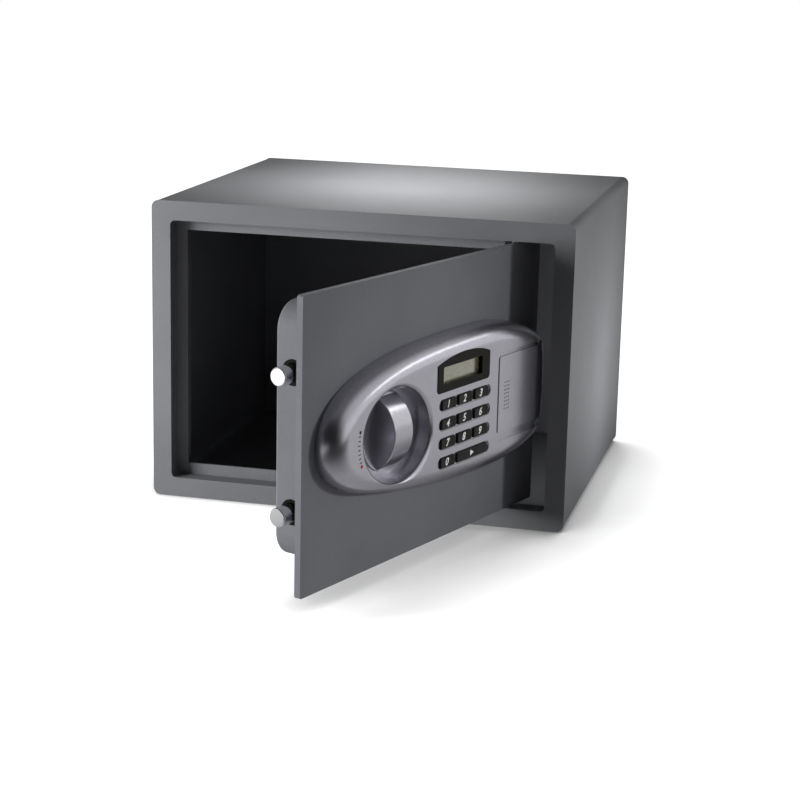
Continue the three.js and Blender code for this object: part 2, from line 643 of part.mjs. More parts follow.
function carrierGuide([s, z]) {
  const shoulder = CARRIER_DEPTH - CLEARANCE;
  const neck = GUIDE_DIAMETER / 2 - GUIDE_NECK_STEP;
  const head = webBack + CLEARANCE;
  return turned([
    [0, panFront], [GUIDE_DIAMETER / 2, panFront], [GUIDE_DIAMETER / 2, shoulder], [neck, shoulder],
    [neck, head], [GUIDE_HEAD / 2, head], [GUIDE_HEAD / 2 - 2 * CLEARANCE, head + GUIDE_HEAD_SHEET],
    [0, head + GUIDE_HEAD_SHEET],
  ], 'depth', s, 0, z, 14);
}

// Disc and arched grip in one moulding, with a blind bore for the shaft.
function knob() {
  const reach = GRIP_ARCH - (KNOB_HEIGHT - KNOB_RIM);
  const half = Math.sqrt(GRIP_ARCH ** 2 - reach ** 2);
  const foot = Math.atan2(reach, half);
  const arch = new THREE.Shape();
  arch.moveTo(half - GRIP_ROUND, KNOB_RIM - GRIP_SINK);
  arch.absarc(0, KNOB_HEIGHT - GRIP_ARCH, GRIP_ARCH - GRIP_ROUND, foot, Math.PI - foot);
  arch.lineTo(GRIP_ROUND - half, KNOB_RIM - GRIP_SINK);
  const grip = new THREE.ExtrudeGeometry(arch, {
    depth: GRIP_WIDTH - 2 * GRIP_ROUND, curveSegments: 9,
    bevelThickness: GRIP_ROUND, bevelSize: GRIP_ROUND, bevelSegments: 2,
  });
  grip.translate(0, 0, GRIP_ROUND - GRIP_WIDTH / 2);
  // The arch was drawn as z over height, so it is laid with its height towards the viewer.
  grip.applyMatrix4(new THREE.Matrix4().set(0, 0, 1, KNOB_S, 0, -1, 0, 0, 1, 0, 0, KNOB_Z, 0, 0, 0, 1));
  const disc = turned([
    [0, -KNOB_RIM], [KNOB_RADIUS - KNOB_CHAMFER, -KNOB_RIM], [KNOB_RADIUS, KNOB_CHAMFER - KNOB_RIM],
    [KNOB_RADIUS, -KNOB_CHAMFER], [0, -KNOB_CHAMFER],
  ], 'depth', KNOB_S, 0, KNOB_Z, 40);
  const bore = pillar(KNOB_S, KNOB_Z, SHAFT_DIAMETER / 2 + CLEARANCE, -KNOB_HEIGHT / 2 - 1, 0);
  return disc.add(solid(grip)).subtract(bore);
}

function knobShaft() {
  const radius = SHAFT_DIAMETER / 2;
  const head = CARRIER_DEPTH - 3 * CLEARANCE;
  const seat = head - SHAFT_HEAD_SHEET;
  return turned([
    [0, -KNOB_HEIGHT / 2], [radius, -KNOB_HEIGHT / 2], [radius, seat], [SHAFT_HEAD / 2, seat],
    [SHAFT_HEAD / 2, head], [0, head],
  ], 'depth', KNOB_S, 0, KNOB_Z);
}

// The crank's pin is riveted in and stands through the carrier's slot.
function crankDisc() {
  const back = CARRIER_DEPTH - 4 * CLEARANCE - SHAFT_HEAD_SHEET;
  const front = back - CRANK_SHEET;
  return pillar(KNOB_S, KNOB_Z, CRANK_DISC / 2, front, back, 32)
    .subtract(pillar(KNOB_S, KNOB_Z, SHAFT_DIAMETER / 2 + CLEARANCE, front - 1, back + 1))
    .add(pillar(crankPinS, crankPinZ, CRANK_PIN / 2, front + 1, webBack + CRANK_PIN_PAST_WEB));
}

function solenoidBody() {
  const half = plungerDepth - panFront - CLEARANCE;
  const bore = PLUNGER_DIAMETER / 2 + CLEARANCE;
  return block(magnetS - MAGNET_WIDTH / 2, plungerDepth - half, magnetBottom,
    magnetS + MAGNET_WIDTH / 2, plungerDepth + half, magnetTop)
    .subtract(turned([
      [0, MAGNET_FLOOR], [bore, MAGNET_FLOOR], [bore, MAGNET_HEIGHT + 1], [0, MAGNET_HEIGHT + 1],
    ], 'z', magnetS, plungerDepth, magnetBottom));
}

function solenoidPlunger() {
  const radius = PLUNGER_DIAMETER / 2;
  const collar = PLUNGER_COLLAR / 2;
  const foot = magnetBottom + MAGNET_FLOOR + PLUNGER_CHAMFER;
  return turned([
    [0, foot], [radius, foot], [radius, collarSeat], [collar, collarSeat], [collar, collarTop],
    [radius, collarTop], [radius, plungerTip - PLUNGER_CHAMFER], [radius - PLUNGER_CHAMFER, plungerTip],
    [0, plungerTip],
  ], 'z', magnetS, plungerDepth, 0, 14);
}

// The spring is a helix of wire between the magnet's yoke and the plunger's collar.
function plungerSpring() {
  const low = magnetTop + CLEARANCE + SPRING_WIRE / 2;
  const rise = collarSeat - CLEARANCE - SPRING_WIRE / 2 - low;
  const helix = new (class extends THREE.Curve {
    getPoint(t, target = new THREE.Vector3()) {
      const angle = 2 * Math.PI * SPRING_TURNS * t;
      return target.set(magnetS + SPRING_DIAMETER / 2 * Math.cos(angle),
        plungerDepth + SPRING_DIAMETER / 2 * Math.sin(angle), low + rise * t);
    }
  })();
  const wire = new THREE.Shape();
  wire.absarc(0, 0, SPRING_WIRE / 2, 0, 2 * Math.PI);
  return solid(new THREE.ExtrudeGeometry(wire, {
    steps: 9 * SPRING_TURNS, extrudePath: helix, curveSegments: 3,
  }));
}

// Outline of the panel as shares of its length and width, rounder towards the knob than the hinge.
function panelOutline() {
  const s = (share) => PANEL_LEFT + share * PANEL_LENGTH;
  const z = (share) => PANEL_BOTTOM + share * PANEL_WIDTH;
  const outline = new THREE.Shape();
  outline.moveTo(s(0), z(0.494));
  const bend = (a, b, c, d, e, f) => outline.bezierCurveTo(s(a), z(b), s(c), z(d), s(e), z(f));
  bend(0, 0.253, 0.114, 0.17, 0.184, 0.133);
  bend(0.312, 0.064, 0.503, 0, 0.676, 0);
  bend(0.797, 0, 0.925, 0.026, 0.977, 0.124);
  bend(0.991, 0.15, 1, 0.193, 1, 0.253);
  bend(1.005, 0.45, 1.005, 0.55, 1, 0.734);
  bend(1, 0.777, 0.995, 0.815, 0.981, 0.837);
  bend(0.919, 0.931, 0.797, 1, 0.676, 1);
  bend(0.387, 1, 0, 0.973, 0, 0.494);
  return pointsOf(outline, 7);
}

const panelEdge = panelOutline();

// The edge drawn in by an inset on all sides, at a height in front of the plate.
function panelRing(inset, height) {
  const middleS = PANEL_LEFT + PANEL_LENGTH / 2;
  const middleZ = PANEL_BOTTOM + PANEL_WIDTH / 2;
  const alongS = 1 - 2 * inset / PANEL_LENGTH;
  const alongZ = 1 - 2 * inset / PANEL_WIDTH;
  return panelEdge.map((p) => new THREE.Vector3(middleS + (p.x - middleS) * alongS, -height,
    middleZ + (p.y - middleZ) * alongZ));
}

// The panel's crown: an upright foot, a quarter-round rim and a flat face. Sunk by a depth, it gives
// the inside of the shell and the floor of the cover's channel.
function crown(sunk, base) {
  const rings = [panelRing(sunk, base)];
  for (let angle = 0; angle <= 90; angle += 18) {
    const turn = THREE.MathUtils.degToRad(angle);
    const rise = (PANEL_HEIGHT - sunk - PANEL_FOOT) * Math.sin(turn);
    rings.push(panelRing(sunk + PANEL_BORDER * (1 - Math.cos(turn)), PANEL_FOOT + rise));
  }
  return loft(rings);
}

function wellRing(grow, height) {
  const ellipse = new THREE.EllipseCurve(WELL_S, WELL_Z, WELL_LONG + grow, WELL_SHORT + grow, 0, 2 * Math.PI,
    false, THREE.MathUtils.degToRad(WELL_TILT));
  return pointsOf(ellipse, 40).map((p) => new THREE.Vector3(p.x, -height, p.y));
}

function bezelOutline(grow) {
  const left = BEZEL_LEFT - grow;
  const right = BEZEL_LEFT + BEZEL_WIDTH + grow;
  const bottom = BEZEL_BOTTOM - grow;
  const side = BEZEL_BOTTOM + BEZEL_SIDE + grow;
  const outline = new THREE.Shape();
  outline.moveTo(left + BEZEL_CORNER, bottom);
  outline.lineTo(right - BEZEL_CORNER, bottom);
  outline.absarc(right - BEZEL_CORNER, bottom + BEZEL_CORNER, BEZEL_CORNER, -Math.PI / 2, 0);
  outline.lineTo(right, side);
  const control = side + BEZEL_RISE * 4 / 3;
  outline.bezierCurveTo(right - BEZEL_WIDTH / 4, control, left + BEZEL_WIDTH / 3, control, left, side);
  outline.lineTo(left, bottom + BEZEL_CORNER);
  outline.absarc(left + BEZEL_CORNER, bottom + BEZEL_CORNER, BEZEL_CORNER, Math.PI, 1.5 * Math.PI);
  return outline;
}

const keyRows = [['1', '2', '3'], ['4', '5', '6'], ['7', '8', '9'], ['0', 'start']];
const keyMargin = (KEY_SLOT_LENGTH - 3 * KEY_WIDTH - 2 * KEY_GAP) / 2;
const keys = keyRows.flatMap((labels, row) => labels.map((label, column) => {
  const left = KEY_SLOT_LEFT + keyMargin + column * keyPitch;
  const width = label === 'start' ? KEY_WIDTH + keyPitch : KEY_WIDTH;
  return { label, left, right: left + width, middle: KEY_TOP_ROW_Z - row * KEY_ROW_PITCH };
}));

const hookLevels = [-1, 1].map((side) => COVER_BOTTOM + COVER_HEIGHT / 2 + side * HOOK_SPREAD / 2);

// Draws the cover's outline, or the channel's round it.
function coverOutline(beside, below, above, corner) {
  return roundedRectangle(COVER_LEFT - beside, COVER_BOTTOM - below, coverRight + PANEL_BORDER,
    COVER_BOTTOM + COVER_HEIGHT + above, corner);
}

// The moulded shell: crown less its hollow, with the well sunk in it, a slot for each row of keys, a
// window for each key and the display, a channel for the cover, and bosses for its screws.
function panelHousing() {
  const outside = crown(0, CLEARANCE);
  const tub = loft([
    wellRing(PANEL_WALL, CLEARANCE),
    wellRing(PANEL_WALL, PANEL_HEIGHT - 2 * WELL_FLARE_DEPTH),
    wellRing(PANEL_WALL + WELL_FLARE, PANEL_HEIGHT - PANEL_WALL),
  ]);
  const flare = [0, 30, 60, 90].map((angle) => {
    const turn = THREE.MathUtils.degToRad(angle);
    return wellRing(WELL_FLARE * (1 - Math.cos(turn)),
      PANEL_HEIGHT - WELL_FLARE_DEPTH * (1 - Math.sin(turn)));
  });
  const well = loft([wellRing(-WELL_DRAFT, WELL_FLOOR), ...flare, wellRing(WELL_FLARE, PANEL_HEIGHT + 1)]);
  let hollow = crown(PANEL_WALL, -1).subtract(tub);
  for (const [s, z] of PANEL_SCREW_PLACES) {
    hollow = hollow.subtract(pillar(s, z, BOSS_DIAMETER / 2, -PANEL_HEIGHT, 2, 10));
  }
  let housing = outside.subtract(hollow).subtract(well)
    .subtract(pillar(KNOB_S, KNOB_Z, KNOB_RADIUS + CLEARANCE, -WELL_FLOOR - 1, 1, 40));
  for (const [s, z] of PANEL_SCREW_PLACES) {
    housing = housing.subtract(pillar(s, z, SCREW_DIAMETER / 2, -PANEL_SCREW_GRIP - 1, 1, 8));
  }
  const channelOutline = coverOutline(CHANNEL_BESIDE, CHANNEL_BELOW, CHANNEL_ABOVE, CHANNEL_CORNER);
  const channel = prism(channelOutline, -PANEL_HEIGHT - 1, 1).subtract(crown(CHANNEL_STEP, -2));
  housing = housing.subtract(channel)
    .subtract(prism(bezelOutline(CLEARANCE), -PANEL_HEIGHT - 1, -PANEL_HEIGHT + PANEL_WALL + 1, 6))
    .subtract(pillar(LOCK_S, LOCK_Z, LOCK_DIAMETER / 2 + CLEARANCE, -PANEL_HEIGHT, 0));
  const slotRadius = KEY_SLOT_HEIGHT / 2;
  for (let row = 0; row < keyRows.length; row++) {
    const middle = KEY_TOP_ROW_Z - row * KEY_ROW_PITCH;
    housing = housing.subtract(prism(roundedRectangle(KEY_SLOT_LEFT, middle - slotRadius,
      KEY_SLOT_LEFT + KEY_SLOT_LENGTH, middle + slotRadius, slotRadius - 0.1),
    -PANEL_HEIGHT - 1, -PANEL_HEIGHT + KEY_SLOT_DEPTH, 3));
  }
  for (const key of keys) {
    const half = KEY_HEIGHT / 2 + CLEARANCE;
    const window = roundedRectangle(key.left - CLEARANCE, key.middle - half, key.right + CLEARANCE,
      key.middle + half, KEY_CORNER);
    housing = housing.subtract(prism(window, -PANEL_HEIGHT - 1, -PANEL_HEIGHT + PANEL_WALL + 1, 1));
  }
  for (const level of hookLevels) {
    housing = housing.subtract(block(HOOK_S - CLEARANCE, -PANEL_HEIGHT, level - HOOK_WIDTH / 2 - CLEARANCE,
      HOOK_S + HOOK_LENGTH + COVER_TRAVEL + CLEARANCE, -PANEL_HEIGHT + PANEL_WALL + 1,
      level + HOOK_WIDTH / 2 + CLEARANCE));
  }
  return housing;
}

// A thin skin over the channel that follows the crown, with rows of holes over the buzzer.
function lockCover() {
  let cover = crown(0, CLEARANCE).subtract(crown(COVER_THICKNESS, -2))
    .intersect(prism(coverOutline(0, 0, 0, COVER_CORNER), -PANEL_HEIGHT - 1, 1));
  for (let row = 0; row < SPEAKER_ROWS; row++) {
    for (let column = 0; column < SPEAKER_COLUMNS; column++) {
      const s = SPEAKER_S + (column - (SPEAKER_COLUMNS - 1) / 2) * SPEAKER_HOLE_PITCH;
      const z = SPEAKER_Z + (row - (SPEAKER_ROWS - 1) / 2) * SPEAKER_HOLE_PITCH;
      cover = cover.subtract(pillar(s, z, SPEAKER_HOLE / 2, -PANEL_HEIGHT - 1, 0, 6));
    }
  }
  const underside = COVER_THICKNESS - PANEL_HEIGHT;
  for (const level of hookLevels) {
    const low = level - HOOK_WIDTH / 2;
    const high = level + HOOK_WIDTH / 2;
    cover = cover.add(block(HOOK_S, underside - COVER_THICKNESS / 2, low,
      HOOK_S + HOOK_LENGTH, underside + HOOK_REACH, high))
      .add(block(HOOK_S - HOOK_TOE, underside + HOOK_REACH - COVER_THICKNESS, low,
        HOOK_S + HOOK_LENGTH / 2, underside + HOOK_REACH, high));
  }
  return cover;
}

function keyCap({ left, right, middle }) {
  const low = middle - KEY_HEIGHT / 2;
  const high = middle + KEY_HEIGHT / 2;
  const front = PANEL_HEIGHT + KEY_PROUD;
  const cap = prism(roundedRectangle(left, low, right, high, KEY_CORNER), -front, -keyFloor, 1);
  const flange = prism(roundedRectangle(left - KEY_FLANGE, low - KEY_FLANGE, right + KEY_FLANGE,
    high + KEY_FLANGE, KEY_CORNER), -keyFloor - KEY_FLANGE_THICKNESS, -keyFloor, 1);
  const dish = turned([
    [0, -KEY_HEIGHT], [KEY_DISH_RADIUS, -KEY_HEIGHT], [KEY_DISH_RADIUS, KEY_HEIGHT], [0, KEY_HEIGHT],
  ], 'z', (left + right) / 2, -front - KEY_DISH_RADIUS + KEY_DISH, middle, 100);
  return cap.subtract(dish).add(flange);
}

function displayBezel() {
  const outline = bezelOutline(0);
  outline.holes.push(roundedRectangle(glassLeft, glassBottom, glassLeft + GLASS_WIDTH,
    glassBottom + GLASS_HEIGHT, GLASS_CORNER, THREE.Path));
  return prism(outline, -bezelFront, -bezelBack, 6);
}

function displayWindow() {
  return prism(roundedRectangle(glassLeft - GLASS_LAP, glassBottom - GLASS_LAP,
    glassLeft + GLASS_WIDTH + GLASS_LAP, glassBottom + GLASS_HEIGHT + GLASS_LAP, GLASS_CORNER),
  -glassBack - GLASS_THICKNESS, -glassBack, 2);
}

function lcdPanel() {
  return block(glassLeft - GLASS_LAP, CLEARANCE - glassBack, glassBottom - GLASS_LAP,
    glassLeft + GLASS_WIDTH + GLASS_LAP, -boardTop - CLEARANCE, glassBottom + GLASS_HEIGHT + GLASS_LAP);
}

const keyBlockRight = KEY_SLOT_LEFT + KEY_SLOT_LENGTH;
const keyBlockLow = KEY_TOP_ROW_Z - (keyRows.length - 1) * KEY_ROW_PITCH - KEY_SLOT_HEIGHT / 2;
const keyBlockHigh = KEY_TOP_ROW_Z + KEY_SLOT_HEIGHT / 2;

function keypadBoard() {
  return block(KEY_SLOT_LEFT - BOARD_MARGIN, -boardTop, keyBlockLow - BOARD_MARGIN,
    keyBlockRight + BOARD_MARGIN, -boardBottom, glassBottom + GLASS_HEIGHT + GLASS_LAP);
}

function keypadMat() {
  return prism(roundedRectangle(KEY_SLOT_LEFT - MAT_LAP, keyBlockLow - MAT_LAP, keyBlockRight + MAT_LAP,
    keyBlockHigh + MAT_LAP, KEY_CORNER + MAT_LAP), -matTop, -matTop + MAT_THICKNESS);
}

function speaker() {
  const back = PANEL_HEIGHT - PANEL_WALL - CLEARANCE;
  return pillar(SPEAKER_S, SPEAKER_Z, SPEAKER_DIAMETER / 2, -back, -back + SPEAKER_THICKNESS);
}

function lockBarrel() {
  const bore = LOCK_PLUG_DIAMETER / 2 + CLEARANCE;
  return turned([[bore, -lockFront], [LOCK_DIAMETER / 2, -lockFront], [LOCK_DIAMETER / 2, LOCK_BARREL_END],
    [bore, LOCK_BARREL_END], [bore, -lockFront]], 'depth', LOCK_S, 0, LOCK_Z);
}

function lockCore() {
  const radius = LOCK_PLUG_DIAMETER / 2;
  const seat = LOCK_BARREL_END + CLEARANCE;
  const end = seat + LOCK_CAM_SHEET + 2 * CLEARANCE;
  const tail = radius - LOCK_TAIL_STEP;
  return turned([
    [0, -lockFront], [radius, -lockFront], [radius, seat], [tail, seat], [tail, end], [radius, end],
    [radius, end + LOCK_TAIL_HEAD], [0, end + LOCK_TAIL_HEAD],
  ], 'depth', LOCK_S, 0, LOCK_Z)
    .subtract(block(LOCK_S - KEYWAY_WIDTH / 2, -lockFront - 1, LOCK_Z - KEYWAY_LENGTH / 2,
      LOCK_S + KEYWAY_WIDTH / 2, 0, LOCK_Z + KEYWAY_LENGTH / 2));
}

function lockCam() {
  const front = LOCK_BARREL_END + 2 * CLEARANCE;
  const half = LOCK_CAM_WIDTH / 2;
  const outline = roundedRectangle(LOCK_S - half, LOCK_Z + half - LOCK_CAM_LENGTH, LOCK_S + half,
    LOCK_Z + half, half - 0.1);
  outline.holes.push(circlePath(LOCK_S, LOCK_Z, LOCK_PLUG_DIAMETER / 2 - LOCK_TAIL_STEP + CLEARANCE));
  return prism(outline, front, front + LOCK_CAM_SHEET);
}

// A tray for four round cells in a row, open through the boxed back's window.
function batteryBox() {
  const low = BATTERY_BOX_Z - boxHeight / 2;
  const right = boxLeft + boxLength;
  const wall = BATTERY_BOX_WALL;
  return block(boxLeft, boxFront, low, right, boxBack, low + boxHeight)
    .subtract(block(boxLeft + wall, boxFront + wall, low + wall, right - wall, boxBack + 1,
      low + boxHeight - wall));
}

function battery(place) {
  const middle = BATTERY_BOX_Z + (place - (CELL_COUNT - 1) / 2) * cellPitch;
  const radius = CELL_DIAMETER / 2;
  const cap = CELL_CAP_DIAMETER / 2;
  return turned([
    [0, 0], [radius - CELL_EDGE, 0], [radius, CELL_EDGE], [radius, CELL_LENGTH - CELL_EDGE],
    [radius - CELL_EDGE, CELL_LENGTH], [cap, CELL_LENGTH], [cap, CELL_LENGTH + CELL_CAP],
    [0, CELL_LENGTH + CELL_CAP],
  ], 's', boxLeft + BATTERY_BOX_WALL + 2 * CLEARANCE, boxBack - CLEARANCE - radius, middle, 14);
}

function batteryLid() {
  const low = BATTERY_BOX_Z - boxHeight / 2 - LID_LAP;
  const near = PAN_BACK_DEPTH + CLEARANCE;
  let lid = prism(roundedRectangle(boxLeft - LID_LAP, low, boxLeft + boxLength + LID_LAP / 2,
    low + boxHeight + 2 * LID_LAP, LID_CORNER), near, near + LID_THICKNESS);
  for (let rib = 1; rib <= LID_RIBS; rib++) {
    const s = boxLeft + rib * LID_RIB_PITCH;
    lid = lid.add(block(s, near + LID_THICKNESS / 2, BATTERY_BOX_Z - LID_RIB_LENGTH / 2,
      s + LID_RIB_WIDTH, near + LID_THICKNESS + LID_RIB_HEIGHT, BATTERY_BOX_Z + LID_RIB_LENGTH / 2));
  }
  return lid;
}

function panScrew([s, z]) {
  const seat = PAN_BACK_DEPTH + CLEARANCE;
  const radius = SCREW_DIAMETER / 2;
  return turned([
    [0, seat - SCREW_GRIP], [radius, seat - SCREW_GRIP], [radius, seat], [SCREW_HEAD_DIAMETER / 2, seat],
    [SCREW_HEAD_DIAMETER / 2, seat + SCREW_HEAD / 2], [SCREW_HEAD_DIAMETER / 3, seat + SCREW_HEAD],
    [0, seat + SCREW_HEAD],
  ], 'depth', s, 0, z, 10);
}

function panelScrew([s, z]) {
  const seat = PLATE_THICKNESS + CLEARANCE;
  const radius = SCREW_DIAMETER / 2 - CLEARANCE;
  return turned([[0, -PANEL_SCREW_GRIP], [radius, -PANEL_SCREW_GRIP], [radius, seat],
    [SCREW_HEAD_DIAMETER / 2, seat], [SCREW_HEAD_DIAMETER / 2, seat + SCREW_HEAD / 2],
    [SCREW_HEAD_DIAMETER / 3, seat + SCREW_HEAD], [0, seat + SCREW_HEAD]], 'depth', s, 0, z, 8);
}

// The lead goes from the board through the plate's hole to the top of the battery box.
function batteryCable() {
  const boxTop = BATTERY_BOX_Z + boxHeight / 2;
  const start = new THREE.Vector3(cableS, CLEARANCE - boardBottom, cableZ);
  const end = new THREE.Vector3(boxLeft + boxLength / 2, (boxFront + boxBack) / 2, boxTop + CLEARANCE);
  const route = new THREE.CubicBezierCurve3(start, start.clone().add(new THREE.Vector3(0, CABLE_RUN, 0)),
    end.clone().add(new THREE.Vector3(0, 0, CABLE_DROP)), end);
  const section = new THREE.Shape();
  section.absarc(0, 0, CABLE_DIAMETER / 2, 0, 2 * Math.PI);
  return solid(new THREE.ExtrudeGeometry(section, { steps: 12, extrudePath: route, curveSegments: 4 }));
}

add(model, 'outer_shell', outerShell(), finish.bodyPaint);
add(model, 'back_panel', backPanel(), finish.bodyPaint);
add(model, 'front_frame', frontFrame(), finish.bodyPaint);
const upperSeat = CABINET_HEIGHT - FRAME_FACE + FRAME_SHEET;
add(model, 'hinge_block_upper', hingeBlock(upperSeat, true), finish.bodyPaint);
add(model, 'hinge_block_lower', hingeBlock(FRAME_FACE - FRAME_SHEET, false), finish.bodyPaint);
add(model, 'strike_bar', strikeBar(), finish.bodyPaint);

add(doorPieces, 'door_plate', doorPlate(), finish.doorPaint);
add(doorPieces, 'hinge_pin_upper', hingePin(true), finish.zinc);
add(doorPieces, 'hinge_pin_lower', hingePin(false), finish.zinc);
add(doorPieces, 'door_pan', doorPan(), finish.panPaint);
for (const [end, level] of Object.entries(boltLevels)) {
  add(doorPieces, `bolt_bush_${end}`, boltBush(level), finish.darkPlastic);
  add(doorPieces, `bolt_${end}`, bolt(level), finish.chrome);
}
add(doorPieces, 'bolt_carrier', boltCarrier(), finish.zinc);
add(doorPieces, 'carrier_guide_lower', carrierGuide(guidePlaces[0]), finish.zinc);
add(doorPieces, 'carrier_guide_upper', carrierGuide(guidePlaces[1]), finish.zinc);
add(doorPieces, 'knob', knob(), finish.silverPlastic);
add(doorPieces, 'knob_shaft', knobShaft(), finish.zinc);
add(doorPieces, 'crank_disc', crankDisc(), finish.zinc);
add(doorPieces, 'solenoid_body', solenoidBody(), finish.zinc);
add(doorPieces, 'solenoid_plunger', solenoidPlunger(), finish.zinc);
add(doorPieces, 'plunger_spring', plungerSpring(), finish.chrome);
add(doorPieces, 'panel_housing', panelHousing(), finish.silverPlastic);
add(doorPieces, 'lock_cover', lockCover(), finish.silverPlastic);
add(doorPieces, 'display_bezel', displayBezel(), finish.darkPlastic);
add(doorPieces, 'display_window', displayWindow(), finish.clearWindow);
add(doorPieces, 'lcd_panel', lcdPanel(), finish.lcd);
add(doorPieces, 'keypad_board', keypadBoard(), finish.board);
add(doorPieces, 'keypad_mat', keypadMat(), finish.rubber);
for (const key of keys) add(doorPieces, `key_${key.label}`, keyCap(key), finish.key);
add(doorPieces, 'speaker', speaker(), finish.darkPlastic);
add(doorPieces, 'lock_barrel', lockBarrel(), finish.zinc);
add(doorPieces, 'lock_core', lockCore(), finish.brass);
add(doorPieces, 'lock_cam', lockCam(), finish.zinc);
add(doorPieces, 'battery_box', batteryBox(), finish.darkPlastic);
for (let place = 0; place < CELL_COUNT; place++) {
  add(doorPieces, `battery_${place + 1}`, battery(place), finish.cell);
}
add(doorPieces, 'battery_lid', batteryLid(), finish.darkPlastic);
add(doorPieces, 'battery_cable', batteryCable(), finish.rubber);
postPlaces.forEach((place, i) => add(doorPieces, `pan_screw_${i + 1}`, panScrew(place), finish.zinc));
PANEL_SCREW_PLACES.forEach((place, i) => {
  add(doorPieces, `panel_screw_${i + 1}`, panelScrew(place), finish.zinc);
});

model.updateMatrixWorld(true);
export default model;
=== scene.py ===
# %% [markdown]
# # A small electronic safe
#
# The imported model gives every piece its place. This lesson dresses it: bent and welded steel with a
# powder coat, a moulded silver panel with a turning knob, a display, keys and a sliding cover.
# Each step says what the real piece is, how it could be made, and why this way was chosen.

# %% Load the frame
import math

import bmesh
import bpy
from mathutils import Matrix, Vector


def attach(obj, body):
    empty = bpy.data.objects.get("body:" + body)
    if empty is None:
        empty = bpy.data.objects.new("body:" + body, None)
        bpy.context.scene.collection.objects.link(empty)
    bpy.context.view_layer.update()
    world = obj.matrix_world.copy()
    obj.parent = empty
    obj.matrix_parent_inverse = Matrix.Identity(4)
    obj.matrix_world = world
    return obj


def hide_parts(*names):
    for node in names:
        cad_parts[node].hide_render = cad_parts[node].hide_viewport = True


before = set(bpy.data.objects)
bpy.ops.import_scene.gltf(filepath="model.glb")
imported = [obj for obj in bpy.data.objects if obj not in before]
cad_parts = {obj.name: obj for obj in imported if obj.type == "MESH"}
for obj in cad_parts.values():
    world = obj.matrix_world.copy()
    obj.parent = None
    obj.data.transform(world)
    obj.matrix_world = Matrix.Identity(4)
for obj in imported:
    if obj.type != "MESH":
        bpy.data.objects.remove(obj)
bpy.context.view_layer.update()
scene = bpy.context.scene
scene.view_settings.view_transform = "Standard"
print("solids in the frame:", len(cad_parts))

# %% [markdown]
# ## Two ways of placing
#
# The cabinet is drawn in millimetres in the frame's own axes. The door stands open, so its pieces
# are drawn flat, as a door maker would: x from the free edge to the hinge, y into the safe, z up.
# One matrix then turns them onto the open door. Heights in front of the plate are negative.

# %% Places
MM = 0.001
CLEAR = 0.3  # gap between pieces that touch on the real safe
PLATE_WIDTH, PLATE_HEIGHT = 315.0, 215.0
PIVOT = Vector((126.5, -144.5, 17.5))
PIVOT_INSET, PIVOT_DEPTH = 31.0, 4.5
DOOR_OPEN = math.radians(70)

cabinet_place = Matrix.Scale(MM, 4)
door_place = (
    Matrix.Scale(MM, 4)
    @ Matrix.Translation(PIVOT)
    @ Matrix.Rotation(DOOR_OPEN, 4, "Z")
    @ Matrix.Translation((PIVOT_INSET - PLATE_WIDTH, -PIVOT_DEPTH, 0))
)
print("free corner of the door, in metres:", [round(v, 3) for v in door_place.translation])


# %% [markdown]
# ## Materials
#
# A colour is written as the hex value seen on a screen, and one function turns it into the linear
# numbers that the renderer wants. One more function adds a node with its settings and its links, so
# that each material reads as a short list of what feeds what. Inputs that share a name go by number:
# 6 and 7 are the two colours of a Mix node, and 2 and 3 its two plain numbers.


# %% Colour and node helpers
def colour(code):
    """Turn an sRGB hex value such as "8a8a8c" into linear red, green, blue and alpha."""
    channels = [int(code[i : i + 2], 16) / 255 for i in (0, 2, 4)]
    linear = [c / 12.92 if c <= 0.04045 else ((c + 0.055) / 1.055) ** 2.4 for c in channels]
    return (*linear, 1.0)


def feed(node, inputs):
    """Set a node's inputs, or link them to an output, to a node's first output, or to several."""
    for name, value in inputs.items():
        for source in value if isinstance(value, list) else [value]:
            if isinstance(source, bpy.types.Node):
                source = source.outputs[0]
            if isinstance(source, bpy.types.NodeSocket):
                node.id_data.links.new(source, node.inputs[name])
            else:
                node.inputs[name].default_value = source


def put(tree, kind, inputs=None, **settings):
    """Add a node with its settings, and feed its inputs."""
    made = tree.nodes.new(kind)
    for name, value in settings.items():
        setattr(made, name, value)
    feed(made, inputs or {})
    return made


def start_material(name, **values):
    """Make a material and return it with its node tree, its main shader and object coordinates."""
    made = bpy.data.materials.new(name)
    made.use_nodes = True
    shader = made.node_tree.nodes["Principled BSDF"]
    feed(shader, {label.replace("_", " "): value for label, value in values.items()})
    print("material:", name)
    return made, made.node_tree, shader, put(made.node_tree, "ShaderNodeTexCoord").outputs["Object"]


print("grey 808080 in linear light:", round(colour("808080")[0], 3))

# %% [markdown]
# ### Powder coat
#
# The cabinet and the door are mild steel with a baked polyester powder. The powder melts into a
# satin film with a fine orange peel and a slight cloudiness. The grain of the real coat is about
# 0.3 mm, too fine to show here, so the bump is drawn about 1 mm across.

# %% Powder coat
CLOUDS, SPECKS, PEEL = 9.0, 700.0, 950.0  # features per metre: one in 110, 1.4 and 1.05 mm


